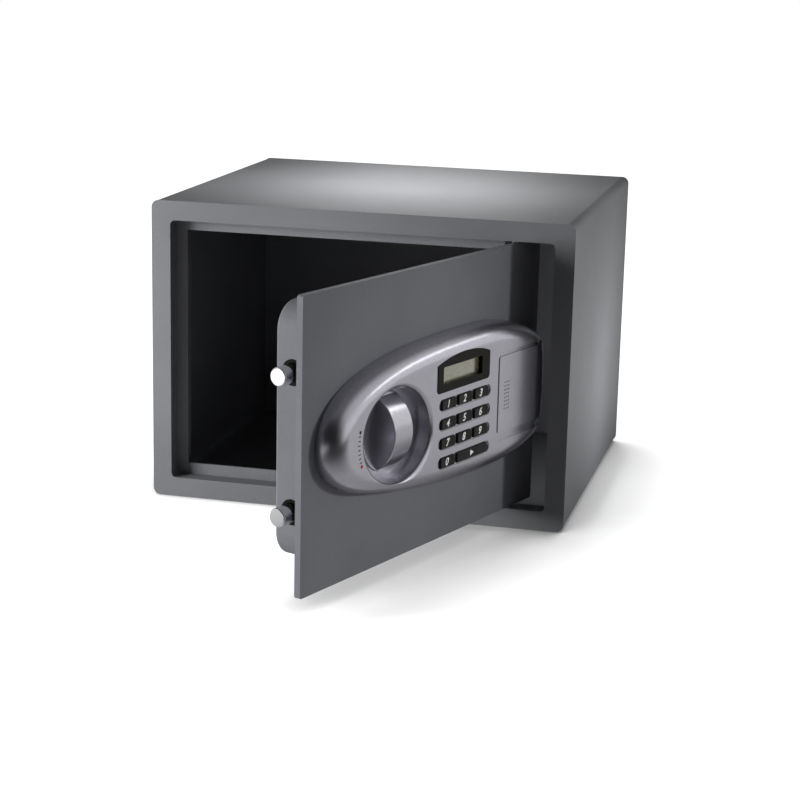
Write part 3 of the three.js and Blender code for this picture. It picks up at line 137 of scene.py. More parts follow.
def powder_coat(name, dark, light, roughness=0.5):
    made, tree, shader, place = start_material(name, Roughness=roughness, Specular_IOR_Level=0.35)
    clouds, specks, peel = (
        put(tree, "ShaderNodeTexNoise", {"Vector": place, "Scale": scale, "Detail": detail})
        for scale, detail in ((CLOUDS, 3.0), (SPECKS, 2.0), (PEEL, 1.0))
    )
    both = put(tree, "ShaderNodeMath", {0: specks, 1: 0.45, 2: clouds}, operation="MULTIPLY_ADD")
    ramp = put(tree, "ShaderNodeMapRange", {"Value": both, "From Min": 0.5, "From Max": 0.95})
    tint = put(tree, "ShaderNodeMix", {"Factor": ramp, 6: colour(dark), 7: colour(light)}, data_type="RGBA")
    bump = put(tree, "ShaderNodeBump", {"Height": peel, "Strength": 0.16, "Distance": 0.0004})
    feed(shader, {"Base Color": tint.outputs[2], "Normal": bump})
    return made


# Dark grey with a soft sheen and no clear reflection.
body_coat = powder_coat("Powder_coated_steel_body", "646568", "707174")
door_coat = powder_coat("Powder_coated_steel_door", "606166", "6c6d72")
pan_coat = powder_coat("Powder_coated_steel_pan", "5c5d62", "68696e")

# %% [markdown]
# ### Silver lacquer on moulded plastic
#
# The panel, the knob and the cover are ABS with a metallic lacquer. Tiny aluminium flakes lie in a
# clear coat, so the surface mirrors its room softly. A flake is about 0.05 mm, too fine to show, so
# the flakes are drawn 0.9 mm across, and a haze of 17 mm lets the roughness wander a little.

# %% Silver lacquer
FLAKES, HAZE = 1100.0, 60.0  # features per metre


def silver_lacquer(name, dark, light, roughness):
    made, tree, shader, place = start_material(name, Metallic=0.93)
    flakes = put(tree, "ShaderNodeTexVoronoi", {"Vector": place, "Scale": FLAKES}).outputs["Color"]
    tint = put(tree, "ShaderNodeMix", {"Factor": flakes, 6: colour(dark), 7: colour(light)}, data_type="RGBA")
    haze = put(tree, "ShaderNodeTexNoise", {"Vector": place, "Scale": HAZE, "Detail": 4.0})
    wander = {"Value": haze, "To Min": roughness - 0.04, "To Max": roughness + 0.05}
    feed(shader, {"Base Color": tint.outputs[2], "Roughness": put(tree, "ShaderNodeMapRange", wander)})
    return made


# Pale silver that shows broad soft reflections.
panel_silver = silver_lacquer("Silver_lacquered_ABS_panel", "b2b1b9", "bcbbc3", 0.25)
knob_silver = silver_lacquer("Silver_lacquered_ABS_knob", "b5b4bb", "bfbec5", 0.24)

# %% [markdown]
# ### Bare metals
#
# The bolts are turned steel with bright chrome plating. The pins, screws and hidden fittings are
# steel with a thin zinc plating, which looks slightly cloudy. The lock's plug is turned brass. The
# clouds in the plating are 3 to 4 mm across, as they are on the real pieces.


# %% Plated and turned metals
def plated(name, base, roughness, cloud, spread=0.08):
    """Metal whose roughness wanders a little, at the given number of clouds per metre."""
    made, tree, shader, place = start_material(name, Metallic=1.0)
    patches = put(tree, "ShaderNodeTexNoise", {"Vector": place, "Scale": cloud, "Detail": 5.0})
    wander = {"Value": patches, "To Min": roughness, "To Max": roughness + spread}
    feed(shader, {"Base Color": colour(base), "Roughness": put(tree, "ShaderNodeMapRange", wander)})
    return made


chrome = plated("Chrome_plated_steel", "e2e3e5", 0.07, 240.0)  # a clear mirror
zinc = plated("Zinc_plated_steel", "b4b6b8", 0.3, 320.0, 0.15)  # grey, cloudy and half dull
brass = plated("Turned_brass", "b8964a", 0.28, 260.0)  # warm yellow, softly shining

# %% [markdown]
# ### Black plastics, rubber, display and board
#
# The bezel, the bushes and the battery parts are black ABS with a fine eroded texture from the
# mould, 0.1 mm on the real piece and drawn 1 mm across to show. The keys are a softer satin black.
# The display is a grey-green liquid crystal behind a clear polycarbonate window. Printing ink has a
# grain of 1.1 mm, the crystal one of 2.5 mm, the board 3.3 mm, and the film round a cell 5 mm.


# %% Plastics
def moulded(name, dark, light, roughness, grain=1000.0, relief=0.1):
    """Plastic, rubber or ink with a grain of so many features per metre."""
    made, tree, shader, place = start_material(name, Roughness=roughness, Specular_IOR_Level=0.1)
    grains = put(tree, "ShaderNodeTexNoise", {"Vector": place, "Scale": grain, "Detail": 2.0})
    tint = put(tree, "ShaderNodeMix", {"Factor": grains, 6: colour(dark), 7: colour(light)}, data_type="RGBA")
    bump = put(tree, "ShaderNodeBump", {"Height": grains, "Strength": relief, "Distance": 0.0003})
    feed(shader, {"Base Color": tint.outputs[2], "Normal": bump})
    return made


black_abs = moulded("Black_ABS", "100f0c", "191814", 0.45)  # deep black, barely shining
key_black = moulded("Black_silicone_key", "191918", "272726", 0.36, relief=0.05)  # satin black
rubber = moulded("Black_rubber", "1c1c1c", "2a2a2a", 0.8)  # dull
board_green = moulded("Green_circuit_board", "26492f", "315c3b", 0.55, 300.0)  # half dull green
cell_wrap = moulded("Blue_cell_wrap", "32507c", "3f6196", 0.35, 200.0, 0.02)  # smooth film
# Three flat inks, in white, dark grey and red.
print_white = moulded("White_printing_ink", "e6e6e2", "f2f2ee", 0.5, 900.0, 0.02)
print_dark = moulded("Grey_printing_ink", "2e2c30", "3a383c", 0.5, 900.0, 0.02)
print_red = moulded("Red_printing_ink", "9a2430", "ac2c38", 0.5, 900.0, 0.02)
crystal = moulded("Liquid_crystal_display", "7f7c68", "8b8771", 0.3, 400.0, 0.02)  # flat grey-green
# A clear pane with a faint reflection.
window_clear, _, window_shader, _ = start_material("Clear_polycarbonate", Roughness=0.04, IOR=1.58)
feed(window_shader, {"Transmission Weight": 1.0, "Base Color": colour("e4e4de")})

# %% [markdown]
# ## Tools for the solids
#
# The real pieces are cut, bent, turned or moulded, and each of those has a simple mesh for it: a
# sheet is an outline with holes pushed to a thickness, a turned piece is a profile spun round an
# axis, and a moulding is a stack of rings. All of them start as a bmesh in millimetres.


# %% Outline tools
def quarter(steps):
    """Cosine and sine of the angles along a quarter turn, for rounded edges."""
    turns = [math.radians(90 * i / steps) for i in range(steps + 1)]
    return [(math.cos(turn), math.sin(turn)) for turn in turns]


def rounded(left, bottom, right, top, radius, steps=8):
    """Points of a rectangle with round corners, counter-clockwise, as (across, up)."""
    points = []
    for cx, cz, start in (
        (right - radius, bottom + radius, -90),
        (right - radius, top - radius, 0),
        (left + radius, top - radius, 90),
        (left + radius, bottom + radius, 180),
    ):
        turns = [math.radians(start + 90 * i / steps) for i in range(steps + 1)]
        points += [(cx + radius * math.cos(turn), cz + radius * math.sin(turn)) for turn in turns]
    return points


def circle(cx, cz, radius, count=48):
    """Points of a circle, counter-clockwise."""
    turns = [2 * math.pi * i / count for i in range(count)]
    return [(cx + radius * math.cos(turn), cz + radius * math.sin(turn)) for turn in turns]


def cubic(start, bend_a, bend_b, end, steps):
    """Points along a Bezier bend, without its last one."""
    points = []
    for i in range(steps):
        t = i / steps
        weights = ((1 - t) ** 3, 3 * t * (1 - t) ** 2, 3 * t * t * (1 - t), t**3)
        corners = (start, bend_a, bend_b, end)
        points.append(tuple(sum(w * c[k] for w, c in zip(weights, corners)) for k in (0, 1)))
    return points


print("points round a corner:", len(rounded(0, 0, 10, 10, 2)) // 4)


# %% Solid tools
def loft(rings):
    """A closed skin over stacked rings of (x, y, z) points, with flat ends."""
    bm = bmesh.new()
    levels = [[bm.verts.new(p) for p in ring] for ring in rings]
    count = len(levels[0])
    for low, high in zip(levels, levels[1:]):
        for i in range(count):
            j = (i + 1) % count
            bm.faces.new((low[i], low[j], high[j], high[i]))
    bm.faces.new(levels[0][::-1])
    bm.faces.new(levels[-1])
    bmesh.ops.recalc_face_normals(bm, faces=bm.faces)
    return bm


def pushed(outline, near, far):
    """An outline drawn as seen from the front, pushed from one depth to another."""
    return loft([[(x, depth, z) for x, z in outline] for depth in (near, far)])


def turned(profile, axis, centre, count=64):
    """A profile of (radius, place) spun round an axis, closed at both ends."""
    bm = bmesh.new()
    rings = []
    for radius, place in profile:
        spin = circle(0, 0, radius, count) if radius else [(0, 0)]
        rings.append([bm.verts.new((x, y, place)) for x, y in spin])
    for low, high in zip(rings, rings[1:]):
        for i in range(count):
            j = (i + 1) % count
            corners = [low[i % len(low)], low[j % len(low)], high[j % len(high)], high[i % len(high)]]
            unique = list(dict.fromkeys(corners))
            if len(unique) > 2:
                bm.faces.new(unique)
    for end in (rings[0], rings[-1]):
        if len(end) > 1 and profile[0] != profile[-1]:
            bm.faces.new(end)
    bmesh.ops.remove_doubles(bm, verts=bm.verts, dist=1e-5)
    angle, about = {"x": (math.pi / 2, "Y"), "y": (-math.pi / 2, "X"), "z": (0, "Z")}[axis]
    bm.transform(Matrix.Translation(centre) @ Matrix.Rotation(angle, 4, about))
    bmesh.ops.recalc_face_normals(bm, faces=bm.faces)
    return bm


def rod(radius, near, far, axis, centre, count=64):
    """A plain round bar, or the tool for a round hole."""
    return turned([(0, near), (radius, near), (radius, far), (0, far)], axis, centre, count)


def block(low, high):
    """A box between two corners."""
    (x0, y0, z0), (x1, y1, z1) = low, high
    return pushed([(x0, z0), (x1, z0), (x1, z1), (x0, z1)], y0, y1)


trial = rod(1, 0, 5, "x", (0, 0, 0))
print("faces of a plain rod:", len(trial.faces))
trial.free()


# %% [markdown]
# A cut or a join of two solids is a Boolean modifier. Its result is turned into a plain mesh at once
# and the tool is thrown away. The edges are broken last by a narrow Bevel, because no real edge is
# perfectly sharp and the thin bright line it catches is what makes a piece look made.


# %% Piece tools
def to_object(bm, name, place=door_place):
    """Turn a bmesh in millimetres into an object whose place is in its mesh."""
    mesh = bpy.data.meshes.new(name)
    bm.transform(place)
    bm.to_mesh(mesh)
    bm.free()
    made = bpy.data.objects.new(name, mesh)
    scene.collection.objects.link(made)
    return made


def freeze(piece):
    """Replace a piece's mesh by the result of its modifiers."""
    graph = bpy.context.evaluated_depsgraph_get()
    mesh = bpy.data.meshes.new_from_object(piece.evaluated_get(graph))
    piece.modifiers.clear()
    piece.data = mesh
    return piece


def combine(piece, tool, place=door_place, operation="DIFFERENCE"):
    """Cut a bmesh or an object out of a piece, join it on, or keep what both share."""
    if isinstance(tool, bmesh.types.BMesh):
        tool = to_object(tool, "tool", place)
    step = piece.modifiers.new("Boolean", "BOOLEAN")
    step.operation = operation
    step.solver = "MANIFOLD"
    step.object = tool
    freeze(piece)
    bpy.data.objects.remove(tool)


def bore(piece, s, z, radius, near, far, place=door_place, count=48):
    """Cut a round hole from the front."""
    combine(piece, pushed(circle(s, z, radius, count), near, far), place)


def hand_over(piece, body, replaced=()):
    """Tell which body a piece rides on and which solids it stands for."""
    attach(piece, body)
    if replaced:
        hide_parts(*replaced)
    low, high = ([end(v.co[k] for v in piece.data.vertices) for k in range(3)] for end in (min, max))
    print(piece.name, "on", body, "is, in mm:", [round((b - a) / MM, 1) for a, b in zip(low, high)])


def dress(piece, body, material, replaced, edge=0.3, segments=2):
    """Break the edges, smooth the shading, and hand the piece over to its body."""
    mesh = piece.data
    bm = bmesh.new()
    bm.from_mesh(mesh)
    bmesh.ops.remove_doubles(bm, verts=bm.verts, dist=0.01 * MM)
    bmesh.ops.dissolve_limit(bm, angle_limit=math.radians(0.5), verts=bm.verts, edges=bm.edges)
    bm.to_mesh(mesh)
    bm.free()
    mesh.shade_smooth()
    mesh.materials.clear()
    mesh.materials.append(material)
    if edge:
        bevel = piece.modifiers.new("Broken edges", "BEVEL")
        bevel.width = edge * MM
        bevel.segments = segments
        bevel.limit_method = "ANGLE"
        bevel.angle_limit = math.radians(32)
        bevel.use_clamp_overlap = True
        bevel.miter_outer = "MITER_ARC"
    normals = piece.modifiers.new("Even shading", "WEIGHTED_NORMAL")
    normals.keep_sharp = True
    normals.weight = 80
    hand_over(piece, body, replaced)


# %% [markdown]
# ## The camera
#
# The camera stands where the photograph was taken from: a little to the right of the safe and above
# it, with a long lens. Its place was found by matching the corners of the cabinet, the opening, the
# door and the panel to the solids.

# %% Camera
AZIMUTH, ELEVATION, ROLL = (math.radians(a) for a in (13.787, 13.975, 1.314))
FOCAL_PIXELS, FRAME_PIXELS, SENSOR = 1990.2, 800, 36.0
CAMERA_PLACE = Vector((0.40981, -1.66737, 0.48775))

across = math.cos(ELEVATION)
back = Vector((math.sin(AZIMUTH) * across, -math.cos(AZIMUTH) * across, math.sin(ELEVATION)))
level = Vector((0, 0, 1)).cross(back).normalized()
upright = back.cross(level)
right = level * math.cos(ROLL) + upright * math.sin(ROLL)
up = back.cross(right)
camera = bpy.data.objects.new("Camera", bpy.data.cameras.new("Camera"))
camera.data.sensor_width = SENSOR
camera.data.lens = FOCAL_PIXELS / FRAME_PIXELS * SENSOR
camera.matrix_world = Matrix.Translation(CAMERA_PLACE) @ Matrix((right, up, back)).transposed().to_4x4()
scene.collection.objects.link(camera)
scene.camera = camera
print("lens:", round(camera.data.lens, 1), "mm")

# %% [markdown]
# ## The cabinet
#
# The wrap is one 2 mm sheet bent round the four long edges. A sheet that follows a path is a natural
# task for Geometry Nodes: the path is a rectangle with its corners filleted, and the sheet's own
# section is swept along it.


# %% Geometry Nodes helpers
def new_tree(name, sizes):
    """A node tree with named inputs, and the outputs that carry them."""
    tree = bpy.data.node_groups.new(name, "GeometryNodeTree")
    for direction in ("INPUT", "OUTPUT"):
        tree.interface.new_socket("Geometry", in_out=direction, socket_type="NodeSocketGeometry")
    for label, value in sizes.items():
        kind = "NodeSocketInt" if isinstance(value, int) else "NodeSocketFloat"
        tree.interface.new_socket(label, in_out="INPUT", socket_type=kind).default_value = value
    print("tree:", name, sizes)
    return tree, put(tree, "NodeGroupInput").outputs


def finish_tree(tree, geometry, material):
    """Realize what the tree made, give it its material and send it out."""
    real = put(tree, "GeometryNodeRealizeInstances", {"Geometry": geometry})
    painted = put(tree, "GeometryNodeSetMaterial", {"Geometry": real, "Material": material})
    put(tree, "NodeGroupOutput", {0: painted})


def grow(name, tree, sizes, base=None):
    """Run a tree on a base mesh with these sizes and keep its result as a plain mesh."""
    piece = bpy.data.objects.new(name, base or bpy.data.meshes.new(name))
    scene.collection.objects.link(piece)
    step = piece.modifiers.new("Nodes", "NODES")
    step.node_group = tree
    inputs = {s.name: s.identifier for s in tree.interface.items_tree if s.in_out == "INPUT"}
    for label, value in sizes.items():
        step[inputs[label]] = value
    freeze(piece)
    print(name, "faces:", len(piece.data.polygons))
    return piece


# %% Bent wrap
WIDTH, HEIGHT, DEPTH = 350.0, 250.0, 300.0
SHEET, BEND = 2.0, 6.0
ANCHOR_RADIUS, ANCHOR_SPACING = 6.0, 160.0
QUAD = "GeometryNodeCurvePrimitiveQuadrilateral"

# This tree is in metres. The others are in millimetres and scaled when they are placed.
wrap_sizes = {"Width": 0.35, "Height": 0.25, "Length": 0.296, "Sheet": 0.002, "Bend": 0.006}
wrap_tree, wrap_in = new_tree("Bent wrap", wrap_sizes)
middle_size = [
    put(wrap_tree, "ShaderNodeMath", {0: wrap_in[side], 1: wrap_in["Sheet"]}, operation="SUBTRACT")
    for side in ("Width", "Height")
]
path = put(wrap_tree, QUAD, {"Width": middle_size[0], "Height": middle_size[1]}, mode="RECTANGLE")
bend_sizes = {"Curve": path, "Count": 10, "Radius": wrap_in["Bend"]}
bends = put(wrap_tree, "GeometryNodeFilletCurve", bend_sizes, mode="POLY")
section = put(wrap_tree, QUAD, {"Width": wrap_in["Sheet"], "Height": wrap_in["Length"]}, mode="RECTANGLE")
swept = put(wrap_tree, "GeometryNodeCurveToMesh", {"Curve": bends, "Profile Curve": section})
finish_tree(wrap_tree, swept, body_coat)
wrap = grow("cabinet_wrap", wrap_tree, {"Width": WIDTH * MM, "Height": HEIGHT * MM})
wrap.data.transform(Matrix.Translation((0, 0, HEIGHT / 2 * MM)) @ Matrix.Rotation(math.pi / 2, 4, "X"))
for side in (-1, 1):
    foot_hole = rod(ANCHOR_RADIUS, 0, 3 * SHEET, "z", (side * ANCHOR_SPACING / 2, 0, -SHEET))
    combine(wrap, foot_hole, cabinet_place)
dress(wrap, "cabinet", body_coat, ["outer_shell"], edge=0.2)

# %% [markdown]
# The back panel is a flat sheet with two anchor holes. The front frame is a face plate with walls
# turned inwards round the opening and a lip that stops the door. Both are sheets with holes, so they
# are outlines pushed to a thickness, joined and cut. The lip leaves the hinge side free.

# %% Back panel
FRONT, BACK = -DEPTH / 2, DEPTH / 2
cabinet_outline = rounded(-WIDTH / 2, 0, WIDTH / 2, HEIGHT, BEND)
back_panel = to_object(pushed(cabinet_outline, BACK - SHEET, BACK), "cabinet_back", cabinet_place)
for side in (-1, 1):
    anchor = (side * ANCHOR_SPACING / 2, HEIGHT / 2, ANCHOR_RADIUS)
    bore(back_panel, *anchor, BACK - 2 * SHEET, BACK + SHEET, cabinet_place)
dress(back_panel, "cabinet", body_coat, ["back_panel"])

# %% Front frame
FRAME_FACE, FRAME_DEPTH, LIP, OPENING_CORNER = 16.0, 15.0, 9.5, 4.0
OPEN_LEFT, OPEN_LOW = -WIDTH / 2 + FRAME_FACE, FRAME_FACE
OPEN_RIGHT, OPEN_HIGH = -OPEN_LEFT, HEIGHT - FRAME_FACE
LIP_END = PIVOT.x - 10
PIN_RADIUS = 2.75
stop = FRONT + FRAME_DEPTH


def opening(wider):
    """The door's opening, grown on every side."""
    corner = OPENING_CORNER + wider
    return rounded(OPEN_LEFT - wider, OPEN_LOW - wider, OPEN_RIGHT + wider, OPEN_HIGH + wider, corner)


front_frame = to_object(pushed(cabinet_outline, FRONT, FRONT + SHEET), "cabinet_front_frame", cabinet_place)
combine(front_frame, pushed(opening(SHEET), FRONT + SHEET / 2, stop + SHEET), cabinet_place, "UNION")
combine(front_frame, pushed(opening(0), FRONT - 1, stop + 2 * SHEET), cabinet_place)
lip_outline = [(OPEN_LEFT - 1, OPEN_LOW - 1), (LIP_END, OPEN_LOW - 1), (LIP_END, OPEN_LOW + LIP)]
lip_outline += [(OPEN_LEFT + LIP, OPEN_LOW + LIP), (OPEN_LEFT + LIP, OPEN_HIGH - LIP)]
lip_outline += [(LIP_END, OPEN_HIGH - LIP), (LIP_END, OPEN_HIGH + 1), (OPEN_LEFT - 1, OPEN_HIGH + 1)]
combine(front_frame, pushed(lip_outline, stop, stop + SHEET), cabinet_place, "UNION")
combine(front_frame, rod(PIN_RADIUS + CLEAR, 0, HEIGHT, "z", (PIVOT.x, PIVOT.y, 0)), cabinet_place)
dress(front_frame, "cabinet", body_coat, ["front_frame"], edge=0.4)

# %% [markdown]
# ## The door
#
# The door is a 5 mm plate, cut by laser and coated. Nothing on it is curved, so its outline with two
# notches for the pins is enough, and the bevel gives the bright rubbed edge that such a plate shows.
# A thin skin in front of each notch keeps the face whole.

# %% Plate
PLATE = 5.0
PIN_IN_PLATE, PIN_PAST_PLATE = 9.0, 8.5
NOTCH_HIGH = 9.3
SKIN = PIVOT_DEPTH - PIN_RADIUS - CLEAR
KNOB_S, KNOB_Z = 95.0, 102.5
LOCK_S, LOCK_Z, LOCK_HOLE = 254.0, 88.0, 9.8
SHAFT_HOLE = 4.3
CABLE_S, CABLE_Z, CABLE_HOLE = 200.5, 133.5, 5.0
POST_RADIUS, POST_END = 4, 42.1
POSTS = [(s, z) for z in (34.0, 181.0) for s in (48.0, 250.0)]

plate = to_object(pushed(rounded(0, 0, PLATE_WIDTH, PLATE_HEIGHT, 2.0, 4), 0, PLATE), "door_plate_steel")
pivot_s = PLATE_WIDTH - PIVOT_INSET
for low, high in ((-1, NOTCH_HIGH), (PLATE_HEIGHT - NOTCH_HIGH, PLATE_HEIGHT + 1)):
    near_side, far_side = pivot_s - PIN_RADIUS - CLEAR, pivot_s + PIN_RADIUS + CLEAR
    combine(plate, block((near_side, SKIN, low), (far_side, PLATE + 1, high)))
for hole in ((KNOB_S, KNOB_Z, SHAFT_HOLE), (LOCK_S, LOCK_Z, LOCK_HOLE), (CABLE_S, CABLE_Z, CABLE_HOLE)):
    bore(plate, *hole, -1, PLATE + 1)
for s, z in POSTS:
    combine(plate, rod(POST_RADIUS, 4, POST_END, "y", (s, 0, z), 32), operation="UNION")
dress(plate, "door", door_coat, ["door_plate"], edge=0.5, segments=3)

# %% [markdown]
# The boxed back is a pressed tray. Its corners are rounded where the sheet was drawn over the tool,
# and its back edge has a small press radius. A stack of rings gives that shape directly.

# %% Pressed pan
PAN_LEFT, PAN_RIGHT, PAN_LOW, PAN_HIGH = 28.0, 270.0, 14.0, 201.0
PAN_DEPTH, PAN_SHEET, PAN_CORNER, PAN_ROUND, SCREW_HOLE = 44.0, 1.6, 20.0, 2.5, 2.1
BATTERY_LEFT, BATTERY_Z, BOX_LENGTH, BOX_HEIGHT, BOX_WALL = 195.0, 106.0, 55.4, 61.3, 1.5
BOLT_LEVELS, BOLT_DEPTH, BUSH_HOLE = (152.7, 51.1), 29.0, 9.6


def pan_ring(inset, depth):
    left, low, corner = PAN_LEFT + inset, PAN_LOW + inset, PAN_CORNER - inset
    outline = rounded(left, low, PAN_RIGHT - inset, PAN_HIGH - inset, corner, 12)
    return [(x, depth, z) for x, z in outline]


press = [(PAN_ROUND * (1 - c), PAN_DEPTH - PAN_ROUND * (1 - s)) for c, s in quarter(6)]
pan = to_object(loft([pan_ring(*level) for level in [(0, PLATE + CLEAR)] + press]), "door_pan_pressed")
inside = [(PAN_SHEET, 0), (PAN_SHEET, PAN_DEPTH - 3), (PAN_SHEET + 0.6, PAN_DEPTH - PAN_SHEET)]
combine(pan, loft([pan_ring(*level) for level in inside]))
for z in BOLT_LEVELS:
    combine(pan, rod(BUSH_HOLE, -2, 4, "x", (PAN_LEFT, BOLT_DEPTH, z)))
for s, z in POSTS:
    bore(pan, s, z, SCREW_HOLE, PAN_DEPTH - 4, PAN_DEPTH + 1, count=24)
window_low = BATTERY_Z - BOX_HEIGHT / 2 + BOX_WALL
window_end = (BATTERY_LEFT + BOX_LENGTH - BOX_WALL, PAN_DEPTH + 1, window_low + BOX_HEIGHT - 2 * BOX_WALL)
combine(pan, block((BATTERY_LEFT + BOX_WALL, PAN_DEPTH - 4, window_low), window_end))
dress(pan, "door", pan_coat, ["door_pan"], edge=0.25)

# %% [markdown]
# ## Turned pieces
#
# Pins, bushes and bolts come off a lathe, so each is a profile spun round its axis. The chamfers are
# part of the profile, as they are for the turner.

# %% Hinge pins
CHAMFER = 0.5
top_pin = (PLATE_HEIGHT - PIN_IN_PLATE, PLATE_HEIGHT + PIN_PAST_PLATE)
for name, (low, high) in (("upper", top_pin), ("lower", (-PIN_PAST_PLATE, PIN_IN_PLATE))):
    thin = PIN_RADIUS - CHAMFER
    profile = [(0, low), (thin, low), (PIN_RADIUS, low + CHAMFER)]
    profile += [(PIN_RADIUS, high - CHAMFER), (thin, high), (0, high)]
    pin = to_object(turned(profile, "z", (pivot_s, PIVOT_DEPTH, 0)), f"hinge_pin_{name}_turned")
    dress(pin, "door", zinc, [f"hinge_pin_{name}"], edge=0)

# %% Bushes and bolts
BOLT_RADIUS, BOLT_END = 7.0, 10.8
FLANGE_S = PAN_LEFT + PAN_SHEET + 22.4  # the bolt carrier's flange, which holds the riveted tails
fit = BOLT_RADIUS + CLEAR
bush_profile = [(fit, -0.3), (9.0, -0.3), (9.3, 0), (9.3, 1.9), (11, 1.9)]
bush_profile += [(11, 3.6), (fit + 1, 5), (fit, 5), (fit, -0.3)]
bolt_profile = [(0, BOLT_END), (BOLT_RADIUS - 1.2, BOLT_END), (BOLT_RADIUS - 0.5, BOLT_END + 0.3)]
bolt_profile += [(BOLT_RADIUS, BOLT_END + 1), (BOLT_RADIUS, FLANGE_S - 0.3), (4, FLANGE_S - 0.3)]
bolt_profile += [(4, FLANGE_S + 2.8), (6, FLANGE_S + 2.8), (5, FLANGE_S + 4.8), (0, FLANGE_S + 4.8)]
for name, z in zip(("upper", "lower"), BOLT_LEVELS):
    bush = to_object(turned(bush_profile, "x", (PAN_LEFT, BOLT_DEPTH, z)), f"bolt_bush_{name}_moulded")
    dress(bush, "door", black_abs, [f"bolt_bush_{name}"], edge=0)
    bolt = to_object(turned(bolt_profile, "x", (0, BOLT_DEPTH, z), 96), f"bolt_{name}_turned")
    dress(bolt, "boltwork", chrome, [f"bolt_{name}"], edge=0)

# %% [markdown]
# ## The moulded panel
#
# The panel is one injection moulding: an egg-shaped crown with a broad quarter-round rim and a flat
# face. An oval well is sunk in it for the knob, and its lip is flared so that fingers find no edge.
# The crown is a stack of rings drawn from one outline, each set in a little more as it rises. The
# well, the slots and the channel are then cut out of it, as the mould's cores would.

# %% Crown shape
PANEL_LEFT, PANEL_BOTTOM, PANEL_LENGTH, PANEL_WIDTH = 15.0, 46.5, 288.5, 116.5
PANEL_HEIGHT, PANEL_FOOT, PANEL_BORDER, PANEL_WALL = 20.0, 2.0, 15.0, 2.5
BENDS = [
    ((0, 0.494), (0, 0.253), (0.114, 0.17), (0.184, 0.133), 16),
    ((0.184, 0.133), (0.312, 0.064), (0.503, 0), (0.676, 0), 16),
    ((0.676, 0), (0.797, 0), (0.925, 0.026), (0.977, 0.124), 14),
    ((0.977, 0.124), (0.991, 0.15), (1, 0.193), (1, 0.253), 6),
    ((1, 0.253), (1.005, 0.45), (1.005, 0.55), (1, 0.734), 6),
    ((1, 0.734), (1, 0.777), (0.995, 0.815), (0.981, 0.837), 6),
    ((0.981, 0.837), (0.919, 0.931), (0.797, 1), (0.676, 1), 14),
    ((0.676, 1), (0.387, 1), (0, 0.973), (0, 0.494), 40),
]
panel_edge = [
    (PANEL_LEFT + s * PANEL_LENGTH, PANEL_BOTTOM + z * PANEL_WIDTH)
    for bend in BENDS
    for s, z in cubic(*bend)
]
MIDDLE_S, MIDDLE_Z = PANEL_LEFT + PANEL_LENGTH / 2, PANEL_BOTTOM + PANEL_WIDTH / 2


def panel_ring(inset, height):
    along, across = 1 - 2 * inset / PANEL_LENGTH, 1 - 2 * inset / PANEL_WIDTH
    return [
        (MIDDLE_S + (s - MIDDLE_S) * along, -height, MIDDLE_Z + (z - MIDDLE_Z) * across)
        for s, z in panel_edge
    ]


def crown(sunk, base):
    """The panel's outside, or the same shape sunk by a depth."""
    rise = PANEL_HEIGHT - sunk - PANEL_FOOT
    levels = [(sunk + PANEL_BORDER * (1 - c), PANEL_FOOT + rise * s) for c, s in quarter(12)]
    return loft([panel_ring(*level) for level in [(sunk, base)] + levels])


print("points on the panel's edge:", len(panel_edge))

# %% Well, bezel and cover outlines
WELL_S, WELL_Z, WELL_LONG, WELL_SHORT, WELL_TILT = 90.0, 102.5, 43.0, 35.0, math.radians(-13)
WELL_FLARE, WELL_FLARE_DEPTH, WELL_FLOOR = 4.0, 3.0, 3.0
BEZEL_LEFT, BEZEL_BOTTOM, BEZEL_WIDTH, BEZEL_SIDE, BEZEL_RISE = 138.5, 123.5, 72.0, 20.8, 5.6
COVER_LEFT, COVER_BOTTOM, COVER_HEIGHT, COVER_SHEET = 226.0, 76.0, 60.0, 1.2
COVER_RIGHT = PANEL_LEFT + PANEL_LENGTH


def well_point(turn, wider, height):
    """A point on the tilted oval, grown by a width."""
    x, z = (WELL_LONG + wider) * math.cos(turn), (WELL_SHORT + wider) * math.sin(turn)
    cosine, sine = math.cos(WELL_TILT), math.sin(WELL_TILT)
    return (WELL_S + x * cosine - z * sine, -height, WELL_Z + x * sine + z * cosine)


def well_ring(wider, height, count=112):
    return [well_point(2 * math.pi * i / count, wider, height) for i in range(count)]


def bezel_outline(wider, corner=3.0):
    """Upright sides with two round lower corners, under an arch."""
    left, right_side = BEZEL_LEFT - wider, BEZEL_LEFT + BEZEL_WIDTH + wider
    bottom, side = BEZEL_BOTTOM - wider, BEZEL_BOTTOM + BEZEL_SIDE + wider
    corners = rounded(left, bottom, right_side, side, corner, 6)
    crest = side + BEZEL_RISE * 4 / 3
    pull_right, pull_left = (right_side - BEZEL_WIDTH / 4, crest), (left + BEZEL_WIDTH / 3, crest)
    arch = cubic((right_side, side), pull_right, pull_left, (left, side), 24)
    return corners[:7] + arch + [(left, side)] + corners[21:]


def cover_outline(beside, below, above, corner):
    low, high = COVER_BOTTOM - below, COVER_BOTTOM + COVER_HEIGHT + above
    return rounded(COVER_LEFT - beside, low, COVER_RIGHT + PANEL_BORDER, high, corner)


print("points round the well:", len(well_ring(0, 0)), "and round the bezel:", len(bezel_outline(0)))

# %% [markdown]
# The moulding has one wall thickness all over, so a smaller crown is taken out of the big one. The
# screw bosses and the tub of the well are left standing in that hollow. Then comes the well itself,
# with its flare, and the shallow channel that the cover slides in.

# %% Housing, its well and channel
BOSSES, BOSS_RADIUS = [(50, 139), (218, 153), (50, 72), (218, 55)], 4
TUB_STRAIGHT = 14  # height of the tub's upright wall, below its flare
KNOB_RADIUS = 29.5
FACE = -PANEL_HEIGHT

